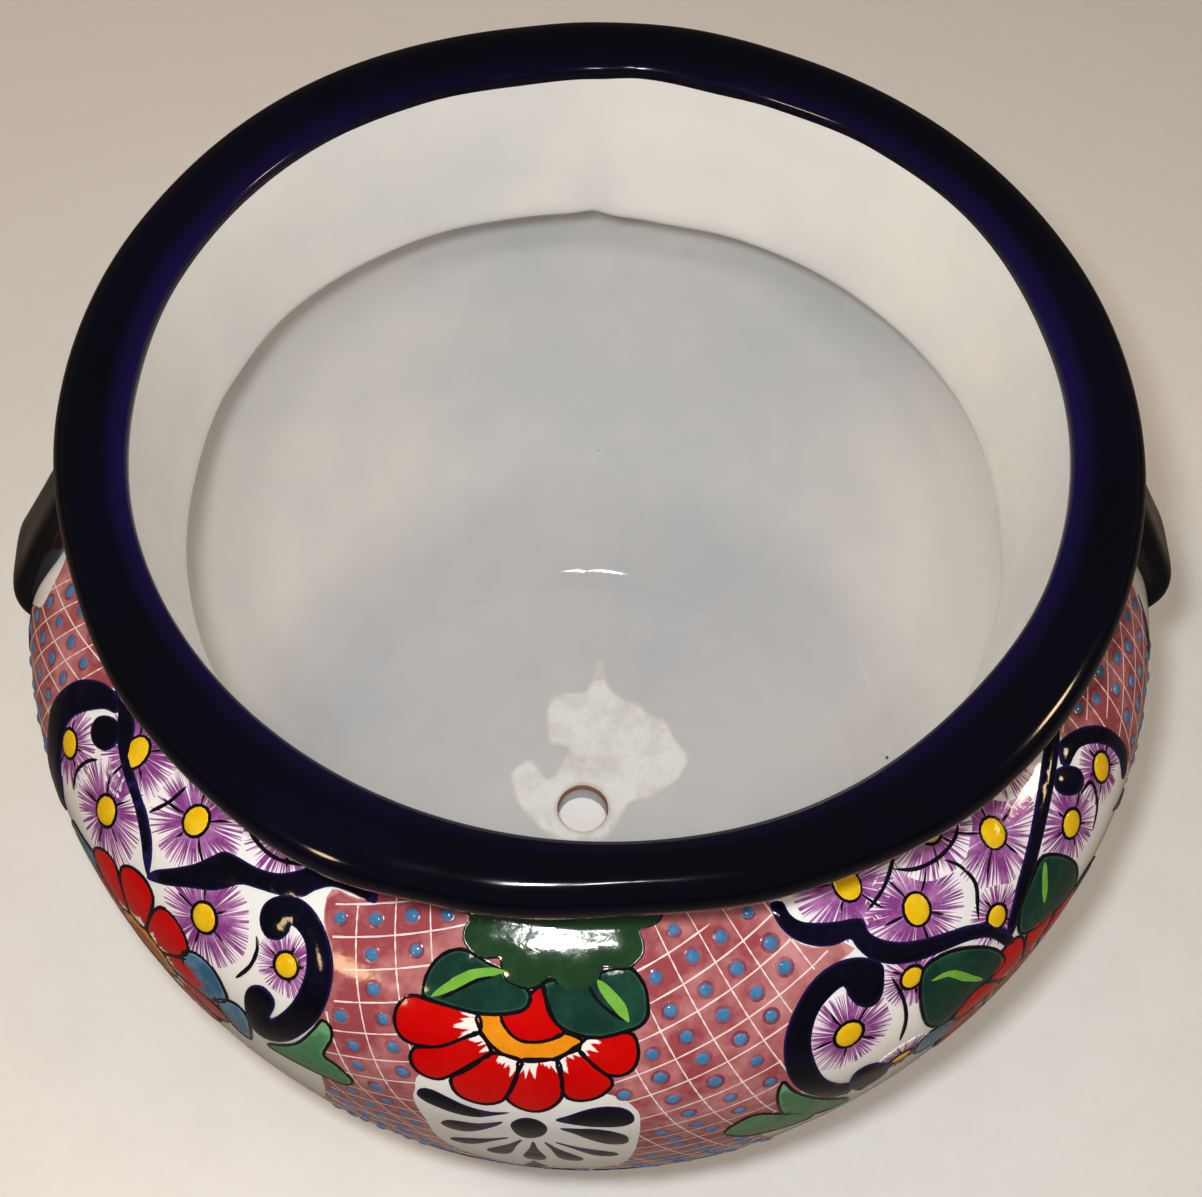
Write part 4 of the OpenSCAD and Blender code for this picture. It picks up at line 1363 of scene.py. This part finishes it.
# %% Rosettes of the frieze
FRIEZE_DROP, ROSETTES, ROSETTE_STEP = 244, 6, 30
for k in range(ROSETTES):
    angle = -75 + ROSETTE_STEP * k
    centre = angle, FRIEZE_DROP
    if k % 2:
        flower(reds, centre, 11, 27, 8, 10)
    else:
        flower(blue, centre, 10, 25, 8, 0)
    for lean in (-1, 1):
        leaf((angle + 5.5 * lean, 264), (angle + 12.5 * lean, 280), 12)
        leaf((angle + 6.0 * lean, 224), (angle + 12.0 * lean, 211), 10, pale=True)
    daisy(angle + ROSETTE_STEP / 2, 246, 13, 60 + k)
    for turn in (-26, 0, 26):
        teardrop(polar(centre, 29, 180 + turn), polar(centre, 42, 180 + turn), 6)
        stamp(dots, DOT, angle + turn * 0.11, 211 - 3 * (turn == 0), 0.9)

# %% [markdown]
# Last come the dots of the lattice. A dot goes in the middle of each mesh unless something is
# painted there, which the remembered outlines tell.

# %% Dots in the net
DOTS_FROM, DOTS_TO, WAIST_CLEAR, PANEL_CLEAR, PAINT_CLEAR = -36, 205, 3, 3.5, 3.2


def sow(panel, across, slope, down, tilt, seed):
    """A dot and its halo in each mesh of a panel's net that nothing covers."""
    loop, left, _, lines = panel_run(panel, across)
    draw, count = random.Random(seed), 0
    for i in lines:
        for j in ROWS:
            x0, c0 = left + across * (i + 0.56) - BEFORE, down * (j + 0.55)
            drop = (c0 - tilt * x0) / (1 + tilt / slope)
            angle = x0 + drop / slope + draw.uniform(-0.35, 0.35)
            drop += draw.uniform(-1.2, 1.2)
            at = rows_of([to_flat((angle, drop))])
            if not DOTS_FROM < drop < DOTS_TO or abs(drop) < WAIST_CLEAR:
                continue
            if not within(at, loop)[0] or to_edge(at, loop)[0] < PANEL_CLEAR:
                continue
            if any(within(at, painted)[0] or to_edge(at, painted)[0] < PAINT_CLEAR for painted in covers):
                continue
            size = draw.uniform(0.88, 1.08)
            stamp(halos, HALO, angle, drop, size)
            stamp(dots, DOT, angle, drop, size)
            count += 1
    return count


print("dots:", sum(sow(*panel) for panel in NETS))
for k in range(BELT_MESHES):
    stamp(dots, DOT, -88.5 + BELT_STEP * k, BELT_MIDDLE, 0.7)

# %% Turn the sheets into pieces
for sheet in (pink, grid_lines, halos, dots, cobalt, black, ground, leaves, ribs, scallop, light_green,
              orange, yellow, blue, daisies, reds, foot_band, belt):
    sheet.piece()

# %% [markdown]
# ## Worn patch round the drain
# Round the hole the glaze was wiped away and a dull white crust is left, thicker at its torn edge.
# It is a thin daub too, but on the flat floor, so its outline is laid out in mm from the hole.

# %% Drain patch
PATCH = [
    (-19, 56), (-17, 62), (-13, 66), (-6, 67), (2, 68), (6, 77), (8, 85), (11, 85), (12, 77), (15, 69),
    (22, 63), (30, 60), (35, 54), (43, 51), (46, 45), (48, 39), (54, 32), (54, 25), (50, 17), (43, 11),
    (33, 5), (24, 3), (20, -4), (17, -10), (10, -17), (-3, -19), (-13, -17), (-23, -10), (-33, 2),
    (-37, 16), (-34, 23), (-26, 27), (-17, 17), (-11, 27), (-8, 34), (-17, 36), (-19, 45)]
HOLE_EDGE, HOLE_POINTS, CELL = 13.1, 48, 3.5
EDGE_UP, CROWN_UP, GRIT_UP, SUNK = 0.35, 0.45, 0.25, 0.6
crust = glaze("drain_crust", tone(236, 236, 234), tone(212, 208, 206), patches=60.0, pooling=0.8, edge=2.5,
              relief=1.0, dull=0.4)
loop = rows_of(soft_path([(x / MM_PER_DEGREE, -y) for x, y in PATCH], 2.0))
hole_ring = np.array([(HOLE_EDGE * math.cos(a), HOLE_EDGE * math.sin(a))
                      for a in (math.tau * k / HOLE_POINTS for k in range(HOLE_POINTS))])


def patch_edge(points):
    """Distance of flat points from the patch's outer edge or the hole, whichever is nearer."""
    return np.minimum(to_edge(points, loop), to_edge(points, hole_ring))


grid = np.array([(x, y) for x in np.arange(-40, 58, CELL) for y in np.arange(-22, 72, CELL)])
grid = grid[within(grid, loop) & ~within(grid, hole_ring)]
grid = grid[patch_edge(grid) > 1.5]
n, m = len(loop), len(hole_ring)
edges = [(i, (i + 1) % n) for i in range(n)] + [(n + i, n + (i + 1) % m) for i in range(m)]
flat = [Vector(p) for p in np.vstack((loop, hole_ring, grid))]
flat, _, faces, *_ = delaunay_2d_cdt(flat, edges, [], 1, MERGE)
faces = [f for f in faces if math.hypot(*(sum(flat[i][c] for i in f) / 3 for c in (0, 1))) > HOLE_EDGE - 0.1]
away = patch_edge(rows_of(flat))
draw, top = random.Random(5), []
for p, d in zip(flat, away):
    up = EDGE_UP + CROWN_UP * between(d, 0, 4) + GRIT_UP * draw.random() * between(d, 1, 4)
    top.append((p.x * MM, p.y * MM, (FLOOR_Z + up) * MM))
under = [(p.x * MM, p.y * MM, (FLOOR_Z - SUNK) * MM) for p in flat]
patch = Sheet("drain_patch", crust, halves=False)
patch.add(top + under, skin(faces, len(flat)), list(away) * 2)
patch.piece()

# %% [markdown]
# ## Size
# The dressed pieces should keep the size of the CAD model, so how far their box has grown past
# the CAD model's box is printed, in mm.

# %% Compare the boxes and finish
dressed_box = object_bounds()
grown = [round((b - a) / MM, 2) for cad, dressed in zip(cad_box, dressed_box) for a, b in zip(cad, dressed)]
print("size grew by mm", grown)
